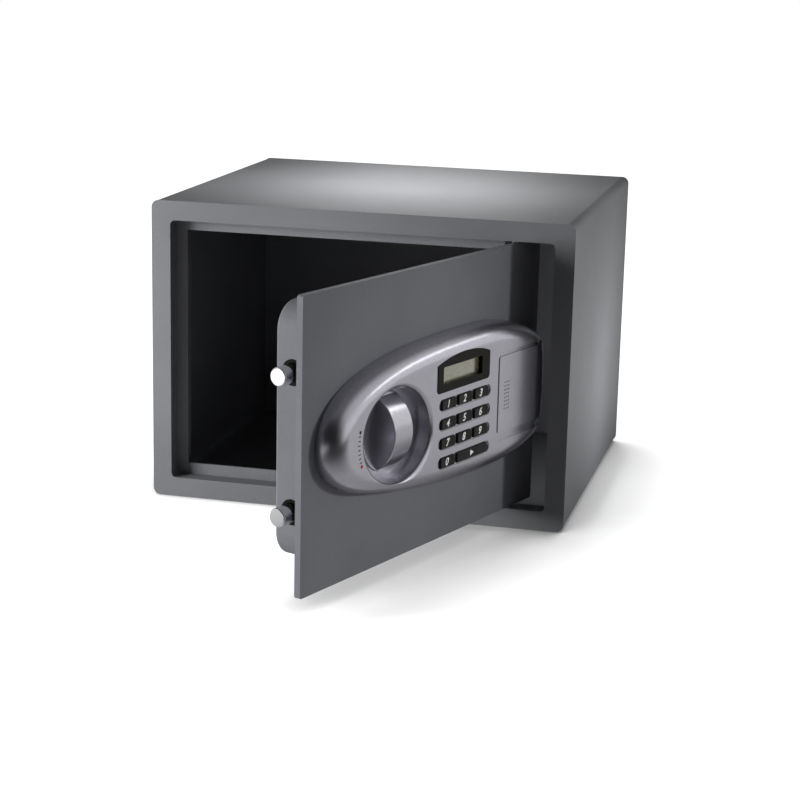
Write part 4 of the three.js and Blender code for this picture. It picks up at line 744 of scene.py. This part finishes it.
housing = to_object(crown(0, 0.3), "panel_housing_moulded")
tub_levels = [(PANEL_WALL, 0.3), (PANEL_WALL, TUB_STRAIGHT)]
tub_levels += [(PANEL_WALL + WELL_FLARE, PANEL_HEIGHT - PANEL_WALL)]
tub = to_object(loft([well_ring(*level) for level in tub_levels]), "tub")
hollow = to_object(crown(PANEL_WALL, -1), "hollow")
for s, z in BOSSES:
    bore(hollow, s, z, BOSS_RADIUS, FACE, 2, count=24)
combine(hollow, tub)
combine(housing, hollow)
flare = [(WELL_FLARE * (1 - c), PANEL_HEIGHT - WELL_FLARE_DEPTH * (1 - s)) for c, s in quarter(8)]
well_levels = [(-1, WELL_FLOOR)] + flare + [(WELL_FLARE, PANEL_HEIGHT + 1)]
combine(housing, loft([well_ring(*level) for level in well_levels]))
bore(housing, KNOB_S, KNOB_Z, KNOB_RADIUS + CLEAR, -WELL_FLOOR - 1, 1, count=96)
channel = to_object(pushed(cover_outline(2, 7, 3.3, 6), FACE - 1, 1), "channel")
combine(channel, crown(COVER_SHEET + CLEAR, -2))
combine(housing, channel)
print("housing faces:", len(housing.data.polygons))

# %% [markdown]
# The rest of the openings are plain windows: an arched seat for the bezel, a hole for the lock, a
# window for the buzzer, one shallow slot for each row of keys and a window for each key.

# %% Seats, slots and windows of the housing
KEY_WIDTH, KEY_HEIGHT, KEY_GAP, KEY_CORNER = 19.4, 7.8, 3.2, 1.2
KEY_SLOT_LEFT, KEY_SLOT_LENGTH, KEY_SLOT_HEIGHT = 141.5, 72.0, 9.8
KEY_ROW_PITCH, KEY_TOP_ROW_Z = 14.8, 113.5
SOUND_S, SOUND_Z, SOUND_WIDE, SOUND_TALL = 237.5, 104.5, 10.0, 25.0
KEY_ROWS = (("1", "2", "3"), ("4", "5", "6"), ("7", "8", "9"), ("0", "start"))

combine(housing, pushed(bezel_outline(CLEAR), FACE - 1, FACE + PANEL_WALL + 1))
bore(housing, LOCK_S, LOCK_Z, LOCK_HOLE, FACE, 0)
sound_low, sound_side = SOUND_Z - SOUND_TALL / 2, SOUND_S - SOUND_WIDE / 2
sound_window = rounded(sound_side, sound_low, sound_side + SOUND_WIDE, sound_low + SOUND_TALL, 2)
combine(housing, pushed(sound_window, FACE - 1, FACE + PANEL_WALL + 2))
key_margin = (KEY_SLOT_LENGTH - 3 * KEY_WIDTH - 2 * KEY_GAP) / 2
keys = []
for row, labels in enumerate(KEY_ROWS):
    middle, half = KEY_TOP_ROW_Z - row * KEY_ROW_PITCH, KEY_SLOT_HEIGHT / 2
    slot_end = KEY_SLOT_LEFT + KEY_SLOT_LENGTH
    slot_outline = rounded(KEY_SLOT_LEFT, middle - half, slot_end, middle + half, half - 0.1)
    combine(housing, pushed(slot_outline, FACE - 1, FACE + 1))
    for column, label in enumerate(labels):
        left = KEY_SLOT_LEFT + key_margin + column * (KEY_WIDTH + KEY_GAP)
        width = 2 * KEY_WIDTH + KEY_GAP if label == "start" else KEY_WIDTH
        keys.append((label, left, left + width, middle))
for _, left, right_side, middle in keys:
    half = KEY_HEIGHT / 2 + CLEAR
    window = rounded(left - CLEAR, middle - half, right_side + CLEAR, middle + half, KEY_CORNER, 4)
    combine(housing, pushed(window, FACE - 1, FACE + PANEL_WALL + 1))
dress(housing, "door", panel_silver, ["panel_housing"], edge=0.35)

# %% [markdown]
# The cover is a thin skin over the emergency lock that follows the crown and slides towards the
# hinge. The buzzer behind it sounds through a small grid of holes. The grid is a perforation, so
# Geometry Nodes lay out the punches, and one cut makes all the holes. The real holes are 1 mm, and
# they are drawn 1.3 mm wide to show.

# %% Cover with its perforation
cover = to_object(crown(0, 0.3), "lock_cover_moulded")
combine(cover, crown(COVER_SHEET, -2))
combine(cover, pushed(cover_outline(0, 0, 0, 2), FACE - 1, 1), operation="INTERSECT")
punch_tree, punch_in = new_tree("Punches", {"Columns": 3, "Rows": 8, "Pitch": 3.0, "Hole": 1.3, "Depth": 4.0})
spans = []
for count in ("Columns", "Rows"):
    gaps = put(punch_tree, "ShaderNodeMath", {0: punch_in[count], 1: 1.0}, operation="SUBTRACT")
    spans.append(put(punch_tree, "ShaderNodeMath", {0: gaps, 1: punch_in["Pitch"]}, operation="MULTIPLY"))
counts = {"Vertices X": punch_in["Columns"], "Vertices Y": punch_in["Rows"]}
grid = put(punch_tree, "GeometryNodeMeshGrid", {"Size X": spans[0], "Size Y": spans[1], **counts})
punch_radius = put(punch_tree, "ShaderNodeMath", {0: punch_in["Hole"], 1: 2.0}, operation="DIVIDE")
punch_sizes = {"Vertices": 12, "Radius": punch_radius, "Depth": punch_in["Depth"]}
punch = put(punch_tree, "GeometryNodeMeshCylinder", punch_sizes)
punches = put(punch_tree, "GeometryNodeInstanceOnPoints", {"Points": grid, "Instance": punch})
finish_tree(punch_tree, punches, black_abs)
punch_tool = grow("punches", punch_tree, {"Columns": 3, "Rows": 8})
towards_panel = Matrix.Translation((SOUND_S, FACE, SOUND_Z)) @ Matrix.Rotation(math.pi / 2, 4, "X")
punch_tool.data.transform(door_place @ towards_panel)
combine(cover, punch_tool)
dress(cover, "lock_cover", panel_silver, ["lock_cover"])

# %% [markdown]
# ## The knob
#
# The knob is a low disc with a bar across it whose top is an arc, so that either hand can turn it.
# The bar is its side view stacked from flank to flank. The outer levels are a little smaller, which
# rounds the bar's long edges more than the narrow bevel on the rest.

# %% Knob
KNOB_RIM, KNOB_HEIGHT, GRIP_WIDTH, GRIP_ARCH, GRIP_ROUND, GRIP_SINK = 5.0, 21.0, 23.0, 31.0, 1.2, 2
reach = GRIP_ARCH - (KNOB_HEIGHT - KNOB_RIM)
foot = math.atan2(reach, math.sqrt(GRIP_ARCH**2 - reach**2))
arc = [foot + (math.pi - 2 * foot) * i / 48 for i in range(49)]
side_view = [(GRIP_ARCH * math.cos(a), KNOB_HEIGHT - GRIP_ARCH + GRIP_ARCH * math.sin(a)) for a in arc]
side_view += [(side_view[-1][0], KNOB_RIM - GRIP_SINK), (side_view[0][0], KNOB_RIM - GRIP_SINK)]
grip_rings = []
for flank, edge_round in ((-1, quarter(4)), (1, quarter(4)[::-1])):
    for c, s in edge_round:
        x = KNOB_S + flank * (GRIP_WIDTH / 2 - GRIP_ROUND * (1 - c))
        scale = 1 - GRIP_ROUND * (1 - s) / GRIP_ARCH
        ring = [(x, (height - KNOB_RIM + GRIP_SINK) * scale, along * scale) for along, height in side_view]
        grip_rings.append([(x, -(KNOB_RIM - GRIP_SINK + rise), KNOB_Z + along) for x, rise, along in ring])
disc = [(0, -KNOB_RIM), (KNOB_RADIUS - 1, -KNOB_RIM), (KNOB_RADIUS - 0.3, 0.3 - KNOB_RIM)]
disc += [(KNOB_RADIUS, 1 - KNOB_RIM), (KNOB_RADIUS, -1), (0, -1)]
knob = to_object(turned(disc, "y", (KNOB_S, 0, KNOB_Z), 128), "knob_moulded")
combine(knob, loft(grip_rings), operation="UNION")
combine(knob, rod(SHAFT_HOLE, -11.5, 0, "y", (KNOB_S, 0, KNOB_Z)))
dress(knob, "knob", knob_silver, ["knob"])

# %% [markdown]
# ## Display and keys
#
# The bezel is a small arched plate with a window. Each key is a cap with softly broken edges and a
# shallow dish, standing on a wider flange that keeps it behind the panel. The cap is a stack of
# rings, and rings drawn towards its middle follow the dish.

# %% Bezel
GLASS_LEFT, GLASS_BOTTOM, GLASS_WIDTH, GLASS_HEIGHT = 146.0, 128.9, 53.5, 13.5
bezel = to_object(pushed(bezel_outline(0), FACE - 0.5, FACE + PANEL_WALL), "display_bezel_moulded")
glass_end = (GLASS_LEFT + GLASS_WIDTH, GLASS_BOTTOM + GLASS_HEIGHT)
combine(bezel, pushed(rounded(GLASS_LEFT, GLASS_BOTTOM, *glass_end, 0.8, 4), FACE - 2, FACE + 4))
dress(bezel, "door", black_abs, ["display_bezel"], edge=0.4, segments=3)

# %% Key caps
KEY_FRONT, KEY_FLOOR, KEY_FLANGE, KEY_FLANGE_SHEET = 20.6, 15.4, 0.6, 1.8
KEY_DISH, KEY_DISH_RADIUS, KEY_ROUND, KEY_POINT_GAP = 0.5, 60.0, 0.5, 0.9


def key_height(offset):
    """Height of a cap's dished top at a distance along the key from its middle."""
    sag = KEY_DISH - KEY_DISH_RADIUS + math.sqrt(KEY_DISH_RADIUS**2 - offset**2)
    return KEY_FRONT - max(sag, 0)


def filled(points, gap):
    """The same outline, with points added where two neighbours are further apart than the gap."""
    dense = []
    for (x0, z0), (x1, z1) in zip(points, points[1:] + points[:1]):
        count = max(1, math.ceil(math.dist((x0, z0), (x1, z1)) / gap))
        dense += [(x0 + (x1 - x0) * i / count, z0 + (z1 - z0) * i / count) for i in range(count)]
    return dense


def key_ring(left, right_side, middle, inset, height):
    half, centre = KEY_HEIGHT / 2, (left + right_side) / 2
    corners = rounded(left, middle - half, right_side, middle + half, KEY_CORNER, 4)
    along, across = 1 - 2 * inset / (right_side - left), 1 - inset / half
    return [
        (centre + (x - centre) * along, -height, middle + (z - middle) * across)
        for x, z in filled(corners, KEY_POINT_GAP)
    ]


def key_cap(left, right_side, middle):
    flange, centre = KEY_FLOOR + KEY_FLANGE_SHEET, (left + right_side) / 2
    levels = [(-KEY_FLANGE, KEY_FLOOR), (-KEY_FLANGE, flange), (0, flange)]
    levels += [(KEY_ROUND * (1 - c), KEY_FRONT - KEY_ROUND * (1 - s)) for c, s in quarter(4)]
    bm = loft([key_ring(left, right_side, middle, *level) for level in levels])
    top = max(bm.faces, key=lambda f: -f.calc_center_median().y)
    bmesh.ops.delete(bm, geom=[top], context="FACES_ONLY")
    rim = [v for v in bm.verts if abs(v.co.y + KEY_FRONT) < 1e-6]
    rim.sort(key=lambda v: math.atan2(v.co.z - middle, v.co.x - centre))
    previous = rim
    for share in (0.94, 0.8, 0.6, 0.4, 0.2, 0.02):  # of the way from the middle to the rim
        ring = []
        for v in rim:
            offset = (v.co.x - centre) * share
            place = (centre + offset, -key_height(offset), middle + (v.co.z - middle) * share)
            ring.append(bm.verts.new(place))
        for i in range(len(ring)):
            j = (i + 1) % len(ring)
            bm.faces.new((previous[i], previous[j], ring[j], ring[i]))
        previous = ring
    bm.faces.new(previous)
    bmesh.ops.recalc_face_normals(bm, faces=bm.faces)
    return bm


print("points round a cap:", len(key_ring(*keys[0][1:], 0, KEY_FRONT)))

# %% [markdown]
# The digits are printed on the caps, leaning as on the real keys, and the wide key carries a plain
# triangle. The ink is a real layer 0.06 mm thick, so it also shows in an export without materials.
# A text object is turned into a mesh first, and every point of it is then laid on the dish.

# %% Keys and their printing
INK, DIGIT_SIZE, DIGIT_LEAN, DIGIT_BOLD, DIGIT_SHIFT = 0.06, 8.0, 0.25, 0.15, -1.2


def lay_on_key(mesh, centre_s, centre_z):
    """Bend flat ink onto a cap's dish and put it in its place on the door."""
    for vertex in mesh.vertices:
        x, y, z = vertex.co
        vertex.co = (centre_s + x, -(key_height(x) + z + INK / 2), centre_z + y)
    mesh.transform(door_place)


def printed(label, centre_s, centre_z):
    """A digit as a thin layer of ink."""
    text = bpy.data.curves.new(label, "FONT")
    text.body, text.size, text.shear, text.offset = label, DIGIT_SIZE, DIGIT_LEAN, DIGIT_BOLD
    text.align_x = text.align_y = "CENTER"
    text.extrude = INK / 2
    holder = bpy.data.objects.new(f"digit_{label}", text)
    scene.collection.objects.link(holder)
    mesh = bpy.data.meshes.new_from_object(holder.evaluated_get(bpy.context.evaluated_depsgraph_get()))
    bpy.data.objects.remove(holder)
    lay_on_key(mesh, centre_s, centre_z)
    bm = bmesh.new()
    bm.from_mesh(mesh)
    bmesh.ops.remove_doubles(bm, verts=bm.verts, dist=1e-6)
    bm.to_mesh(mesh)
    bm.free()
    made = bpy.data.objects.new(f"digit_{label}", mesh)
    scene.collection.objects.link(made)
    return made


for label, left, right_side, middle in keys:
    cap = to_object(key_cap(left, right_side, middle), f"key_{label}_cap")
    dress(cap, f"key_{label}", key_black, [f"key_{label}"], edge=0)
    centre = (left + right_side) / 2
    if label == "start":
        triangle = pushed([(-2.2, -2.3), (2.4, 0), (-2.2, 2.3)], -INK / 2, INK / 2)
        mark = to_object(triangle, "start_triangle", Matrix.Rotation(-math.pi / 2, 4, "X"))
        mark.data.flip_normals()
        lay_on_key(mark.data, centre, middle)
    else:
        mark = printed(label, centre + DIGIT_SHIFT, middle)
    mark.data.materials.append(print_white)
    hand_over(mark, f"key_{label}")

# %% [markdown]
# ## Scale beside the knob
#
# A short scale is printed beside the well: a dark dot, seven thin marks and a red dot, which show
# how far the knob is turned. Marks along a curve are a repeat, so Geometry Nodes set them along an
# arc that follows the well's rim.

# %% Scale marks
SCALE_OUT, SCALE_START, SCALE_SWEEP, DOT_RADIUS = 7.2, 182.5, 26, 1.3
scale_tree, scale_in = new_tree("Scale marks", {"Marks": 7, "Long": 2.6, "Wide": 0.7, "Thick": 0.12})
base_curve = put(scale_tree, "GeometryNodeMeshToCurve", {"Mesh": scale_in["Geometry"]})
spaced = put(scale_tree, "GeometryNodeResampleCurve", {"Curve": base_curve, "Count": scale_in["Marks"]})
tangent = put(scale_tree, "GeometryNodeInputTangent")
facing = put(scale_tree, "FunctionNodeAlignEulerToVector", {"Vector": tangent}, axis="Z", pivot_axis="Y")
mark_sides = {"X": scale_in["Long"], "Y": scale_in["Thick"], "Z": scale_in["Wide"]}
mark_size = put(scale_tree, "ShaderNodeCombineXYZ", mark_sides)
mark_box = put(scale_tree, "GeometryNodeMeshCube", {"Size": mark_size})
mark_places = {"Points": spaced, "Instance": mark_box, "Rotation": facing}
finish_tree(scale_tree, put(scale_tree, "GeometryNodeInstanceOnPoints", mark_places), print_dark)

arc_mesh = bpy.data.meshes.new("arc")
arc_turns = [math.radians(SCALE_START + SCALE_SWEEP * i / 24) for i in range(25)]
arc_points = [well_point(turn, SCALE_OUT, PANEL_HEIGHT) for turn in arc_turns]
arc_mesh.from_pydata(arc_points, [(i, i + 1) for i in range(24)], [])
scale_piece = grow("panel_scale_marks", scale_tree, {"Marks": 7}, arc_mesh)
scale_piece.data.transform(door_place)
hand_over(scale_piece, "door")
for name, turn, ink in (("panel_dot_dark", 178.4, print_dark), ("panel_dot_red", 212.6, print_red)):
    s, _, z = well_point(math.radians(turn), SCALE_OUT, 0)
    dot = to_object(pushed(circle(s, z, DOT_RADIUS, 24), FACE - INK, FACE + INK), name)
    dot.data.materials.append(ink)
    hand_over(dot, "door")

# %% [markdown]
# ## Screws of the boxed back
#
# Four pan-head screws hold the boxed back. They are alike, so one screw is modelled by nodes, a
# flattened head with a cross slot on a plain shank, and placed on four points.

# %% Pan screws
screw_tree, screw_in = new_tree("Pan screws", {"Head": 7.0, "High": 2.0, "Shank": 3.6, "Long": 9.0})
head_radius = put(screw_tree, "ShaderNodeMath", {0: screw_in["Head"], 1: 2.0}, operation="DIVIDE")
top_radius = put(screw_tree, "ShaderNodeMath", {0: head_radius, 1: 0.72}, operation="MULTIPLY")
head_sizes = {"Radius Top": top_radius, "Radius Bottom": head_radius, "Depth": screw_in["High"]}
head = put(screw_tree, "GeometryNodeMeshCone", {"Vertices": 32, "Side Segments": 3, **head_sizes})
slot_sides = {"X": 4.4, "Y": 0.9, "Z": 1.6}  # length, width and height of the bar that cuts a slot
bar_sides = put(screw_tree, "ShaderNodeCombineXYZ", slot_sides)
bar = put(screw_tree, "GeometryNodeMeshCube", {"Size": bar_sides})
bar_up = put(screw_tree, "GeometryNodeTransform", {"Geometry": bar, "Translation": (0, 0, 2)})
bar_across = put(screw_tree, "GeometryNodeTransform", {"Geometry": bar_up, "Rotation": (0, 0, math.pi / 2)})
cut_by = {"Mesh 1": head, "Mesh 2": [bar_across, bar_up]}
cross = put(screw_tree, "GeometryNodeMeshBoolean", cut_by, operation="DIFFERENCE", solver="EXACT")
shank_radius = put(screw_tree, "ShaderNodeMath", {0: screw_in["Shank"], 1: 2.0}, operation="DIVIDE")
shank_sizes = {"Vertices": 24, "Radius": shank_radius, "Depth": screw_in["Long"]}
shank = put(screw_tree, "GeometryNodeMeshCylinder", shank_sizes)
half_long = put(screw_tree, "ShaderNodeMath", {0: screw_in["Long"], 1: -0.5}, operation="MULTIPLY")
drop = put(screw_tree, "ShaderNodeCombineXYZ", {"Z": half_long})
shank_down = put(screw_tree, "GeometryNodeTransform", {"Geometry": shank, "Translation": drop})
screw = put(screw_tree, "GeometryNodeJoinGeometry", {0: [cross, shank_down]})
placed = put(screw_tree, "GeometryNodeInstanceOnPoints", {"Points": screw_in["Geometry"], "Instance": screw})
finish_tree(screw_tree, placed, zinc)

spots = bpy.data.meshes.new("spots")
spots.from_pydata([(s, z, 0) for s, z in POSTS], [], [])
screws = grow("pan_screws_cross_head", screw_tree, {"Head": 7.0}, spots)
# The tree's up becomes the way out of the pan's back. This mirrors the mesh, so its faces are turned.
stand = Matrix(((1, 0, 0, 0), (0, 0, 1, PAN_DEPTH + CLEAR), (0, 1, 0, 0), (0, 0, 0, 1)))
screws.data.transform(door_place @ stand)
screws.data.flip_normals()
hand_over(screws, "door", [f"pan_screw_{i}" for i in range(1, 5)])

# %% [markdown]
# ## Battery lid
#
# The lid over the cells is a plain moulded plate that slides towards the hinge. A few ribs give the
# finger a hold. They are a repeat in one direction, so Geometry Nodes set them on a line.

# %% Battery lid with ribs
LID_LAP, LID_SHEET, LID_CORNER = 4.0, 2.0, 3.0
FIRST_RIB = 198.6
lid_low, lid_near = BATTERY_Z - BOX_HEIGHT / 2 - LID_LAP, PAN_DEPTH + CLEAR
lid_end = (BATTERY_LEFT + BOX_LENGTH + LID_LAP / 2, lid_low + BOX_HEIGHT + 2 * LID_LAP)
lid_outline = rounded(BATTERY_LEFT - LID_LAP, lid_low, *lid_end, LID_CORNER)
lid = to_object(pushed(lid_outline, lid_near, lid_near + LID_SHEET), "battery_lid_moulded")
rib_tree, rib_in = new_tree("Finger ribs", {"Ribs": 4, "Pitch": 3.0, "Long": 20.0, "Wide": 1.2, "High": 1.6})
step_along = put(rib_tree, "ShaderNodeCombineXYZ", {"X": rib_in["Pitch"]})
line = put(rib_tree, "GeometryNodeMeshLine", {"Count": rib_in["Ribs"], "Offset": step_along}, mode="OFFSET")
rib_sides = {"X": rib_in["Wide"], "Y": rib_in["High"], "Z": rib_in["Long"]}
rib_box = put(rib_tree, "GeometryNodeMeshCube", {"Size": put(rib_tree, "ShaderNodeCombineXYZ", rib_sides)})
ribs_placed = put(rib_tree, "GeometryNodeInstanceOnPoints", {"Points": line, "Instance": rib_box})
finish_tree(rib_tree, ribs_placed, black_abs)
ribs = grow("ribs", rib_tree, {"Ribs": 4})
ribs.data.transform(door_place @ Matrix.Translation((FIRST_RIB, lid_near + LID_SHEET, BATTERY_Z)))
combine(lid, ribs, operation="UNION")
dress(lid, "battery_lid", black_abs, ["battery_lid"])

# %% [markdown]
# ## Pieces that keep their solid
#
# The fittings inside the door are hidden or small, and the hinge blocks and the strike bar are plain
# bars, so their solids already have the right shape. They only get their materials.

# %% Materials of the solids
kept = {
    body_coat: "hinge_block_upper hinge_block_lower strike_bar",
    zinc: """carrier_guide_upper carrier_guide_lower solenoid_body lock_barrel panel_screw_1 panel_screw_2
        panel_screw_3 panel_screw_4 knob_shaft crank_disc bolt_carrier lock_cam solenoid_plunger
        plunger_spring""",
    black_abs: "battery_box speaker",
    crystal: "lcd_panel",
    window_clear: "display_window",
    board_green: "keypad_board",
    rubber: "keypad_mat battery_cable",
    brass: "lock_core",
    cell_wrap: "battery_1 battery_2 battery_3 battery_4",
}
for material, names in kept.items():
    for name in names.split():
        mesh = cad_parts[name].data
        mesh.materials.clear()
        mesh.materials.append(material)
    print(material.name, "on", len(names.split()), "solids")

# %% [markdown]
# ## Floor and world
#
# The photograph is a product shot on white with a soft shadow. The floor is a sheet of pale paper,
# half a millimetre under the base. It is lifted to white for the camera only, and less where the
# safe stands close, which Ambient Occlusion measures: that paints a soft shadow round the safe, beside
# the lamps' own shadow, and no extra light falls on the safe. In a mirror the paper is painted dark
# near the safe and light further off, to the back and the left: a painted reflection, like that of black
# cards in a studio.
#
# Its tree is a chain of two nodes: fades between two numbers, and sums of two values. So it is
# written as a table of fades and one of sums, and one loop builds it below.

# %% Floor
FLOOR_HALF, FLOOR_TOP, FLOOR_SHEET = 6.0, -0.0005, 0.01
floor_low = (-FLOOR_HALF, -FLOOR_HALF, FLOOR_TOP - FLOOR_SHEET)
floor = to_object(block(floor_low, (FLOOR_HALF, FLOOR_HALF, FLOOR_TOP)), "floor", Matrix())
floor_paper, floor_tree, floor_shader, floor_place = start_material("White_paper", Roughness=0.9)
floor.data.materials.append(floor_paper)
spot = put(floor_tree, "ShaderNodeSeparateXYZ", {"Vector": floor_place}).outputs
distance = put(floor_tree, "ShaderNodeVectorMath", {0: floor_place}, operation="LENGTH")
openness = put(floor_tree, "ShaderNodeAmbientOcclusion", {"Distance": 0.16}, samples=24)
floor_values = {
    "distance": distance.outputs["Value"],
    "openness": openness.outputs["AO"],
    "X": spot["X"],
    "Y": spot["Y"],
}
floor_fades = (  # name, what is measured, from and to, and the value at each of them
    # painted shadow: the camera's lift falls where Ambient Occlusion finds the safe close
    ("lit", "openness", 0.35, 0.92, 0.05, 1.0),
    ("behind", "Y", -0.7, -0.15, 0.0, 1.0),
    ("left", "X", 0.0, -0.2, 0.0, 0.6),
    ("away", "distance", 0.16, 0.42, 0.0, 1.0),
)
floor_sums = (
    ("seen", "Is Camera Ray", "MAXIMUM", "Is Transmission Ray"),
    ("for_eye", "seen", "MULTIPLY", "lit"),
    ("beside", "behind", "MAXIMUM", "left"),
    ("open_floor", "beside", "MULTIPLY", "away"),
    # painted reflection: in a mirror the paper glows only away from the safe, and turns dark grey close to it
    ("mirror_lift", "open_floor", "MULTIPLY", 0.5),
    ("for_mirror", "Is Glossy Ray", "MULTIPLY", "mirror_lift"),
    ("lift", "for_eye", "ADD", "for_mirror"),
    ("paler", "open_floor", "MULTIPLY", 0.6),
    ("card", 0.95, "SUBTRACT", "paler"),
    ("shade", "Is Glossy Ray", "MULTIPLY", "card"),
)
print("floor:", len(floor_fades), "fades and", len(floor_sums), "sums")

# %% [markdown]
# The world is white for the eye. The little light that it throws comes from the back, and what metal
# mirrors of it is bright on the right, weaker on the left and dark in front, like a room with one
# large window. The same kind of tables says so.

# %% World
world = bpy.data.worlds.new("Studio")
world.use_nodes = True
scene.world = world
sky = world.node_tree
heading = put(sky, "ShaderNodeTexCoord").outputs["Generated"]
towards = put(sky, "ShaderNodeSeparateXYZ", {"Vector": heading}).outputs
sky_values = {"right": towards["X"], "back": towards["Y"], "up": towards["Z"]}
sky_fades = (
    ("room", "back", -0.7, 0.3, 0.03, 0.26),
    ("not_in_front", "back", -0.85, -0.3, 0.04, 1.0),
    ("on_the_right", "right", 0.2, 0.55, 0.25, 1.0),
    ("not_above", "up", 0.3, 0.75, 1.0, 0.7),
    ("left_side", "right", -0.5, -0.75, 0.0, 0.7),
)
sky_sums = (
    ("right_wall", "not_in_front", "MULTIPLY", "on_the_right"),
    ("right_side", "right_wall", "MULTIPLY", "not_above"),
    ("mirrored", "right_side", "MAXIMUM", "left_side"),
    ("seen", "Is Camera Ray", "MAXIMUM", "Is Transmission Ray"),
)
print("world:", len(sky_fades), "fades and", len(sky_sums), "sums")

# %% [markdown]
# One loop builds both trees from their tables. Their last values then set the paper's colour and
# its own light, and the strength of the world.

# %% Floor and world from their tables
for tree, values, fades, sums in (
    (floor_tree, floor_values, floor_fades, floor_sums),
    (sky, sky_values, sky_fades, sky_sums),
):
    values.update(put(tree, "ShaderNodeLightPath").outputs.items())
    for name, source, start, end, low, high in fades:
        limits = {"Value": values[source], "From Min": start, "From Max": end, "To Min": low, "To Max": high}
        values[name] = put(tree, "ShaderNodeMapRange", limits, interpolation_type="SMOOTHSTEP")
    for name, first, operation, second in sums:
        pair = {0: values.get(first, first), 1: values.get(second, second)}
        values[name] = put(tree, "ShaderNodeMath", pair, operation=operation)
    print(tree.name, "nodes:", len(tree.nodes))

# painted reflection: for glossy rays the paper's colour is mixed towards dark grey near the safe
tones = {"Factor": floor_values["shade"], 6: colour("dcdcdc"), 7: colour("303030")}
paper = put(floor_tree, "ShaderNodeMix", tones, data_type="RGBA").outputs[2]
white = (1, 1, 1, 1)
feed(floor_shader, {"Base Color": paper, "Emission Color": white, "Emission Strength": floor_values["lift"]})
unseen_parts = {"Factor": sky_values["Is Glossy Ray"], 2: sky_values["room"], 3: sky_values["mirrored"]}
unseen = put(sky, "ShaderNodeMix", unseen_parts)
strength = put(sky, "ShaderNodeMix", {"Factor": sky_values["seen"], 2: unseen, 3: 1.0})
feed(sky.nodes["Background"], {"Color": white, "Strength": strength})

# %% [markdown]
# ## Lamps
#
# Two spots lay the soft pools of light on the lid and on the side that such a picture has, and a
# third one lights the open door. A box in front on the left lights the frame and the door's edge.
# Two weak lamps are there for their reflections: one behind for the lid and a strip for the rim.
# Spots that fade over their whole cone leave no edge, and the others are Area lamps for soft shadows.

# %% Lamps
SPOT_RADIUS = 0.1
lamps = (  # name, place, target, watts, whether metal mirrors it, and size in metres or cone in degrees
    ("Back_box", (-0.35, 1.7, 0.85), (0, 0, 0.25), 1.8, True, (0.35, 0.9)),
    ("Door_spot", (1.7, 0.1, 0.45), (0.06, -0.29, 0.12), 66, False, 19),
    ("Left_box", (-0.9, -0.75, 0.3), (-0.12, -0.15, 0.12), 20, False, (0.5, 0.5)),
    ("Top_spot", (0.0, 0.1, 1.5), (-0.01, 0.0, 0.25), 180, True, 15),
    ("Side_spot", (1.5, 0.2, 0.35), (0.175, 0.03, 0.1), 140, True, 10),
    ("Rim_strip", (1.3, 0.45, 0.95), (0.1, -0.2, 0.12), 1.2, True, (0.9, 0.12)),
)
for name, place, target, power, shines, spread in lamps:
    if isinstance(spread, tuple):
        lamp = bpy.data.lights.new(name, "AREA")
        lamp.shape = "RECTANGLE"
        lamp.size, lamp.size_y = spread
    else:
        lamp = bpy.data.lights.new(name, "SPOT")
        lamp.spot_size, lamp.spot_blend, lamp.shadow_soft_size = math.radians(spread), 1.0, SPOT_RADIUS
    lamp.energy = power
    holder = bpy.data.objects.new(name, lamp)
    aim = Vector(target) - Vector(place)
    holder.matrix_world = Matrix.Translation(place) @ aim.to_track_quat("-Z", "Y").to_matrix().to_4x4()
    holder.visible_glossy = shines
    scene.collection.objects.link(holder)
    print(name, power, "W,", round(aim.length, 2), "m away")

# %% [markdown]
# ## Sizes
#
# Looks must not change the object's size.

# %% Sizes
print("the safe is dressed")
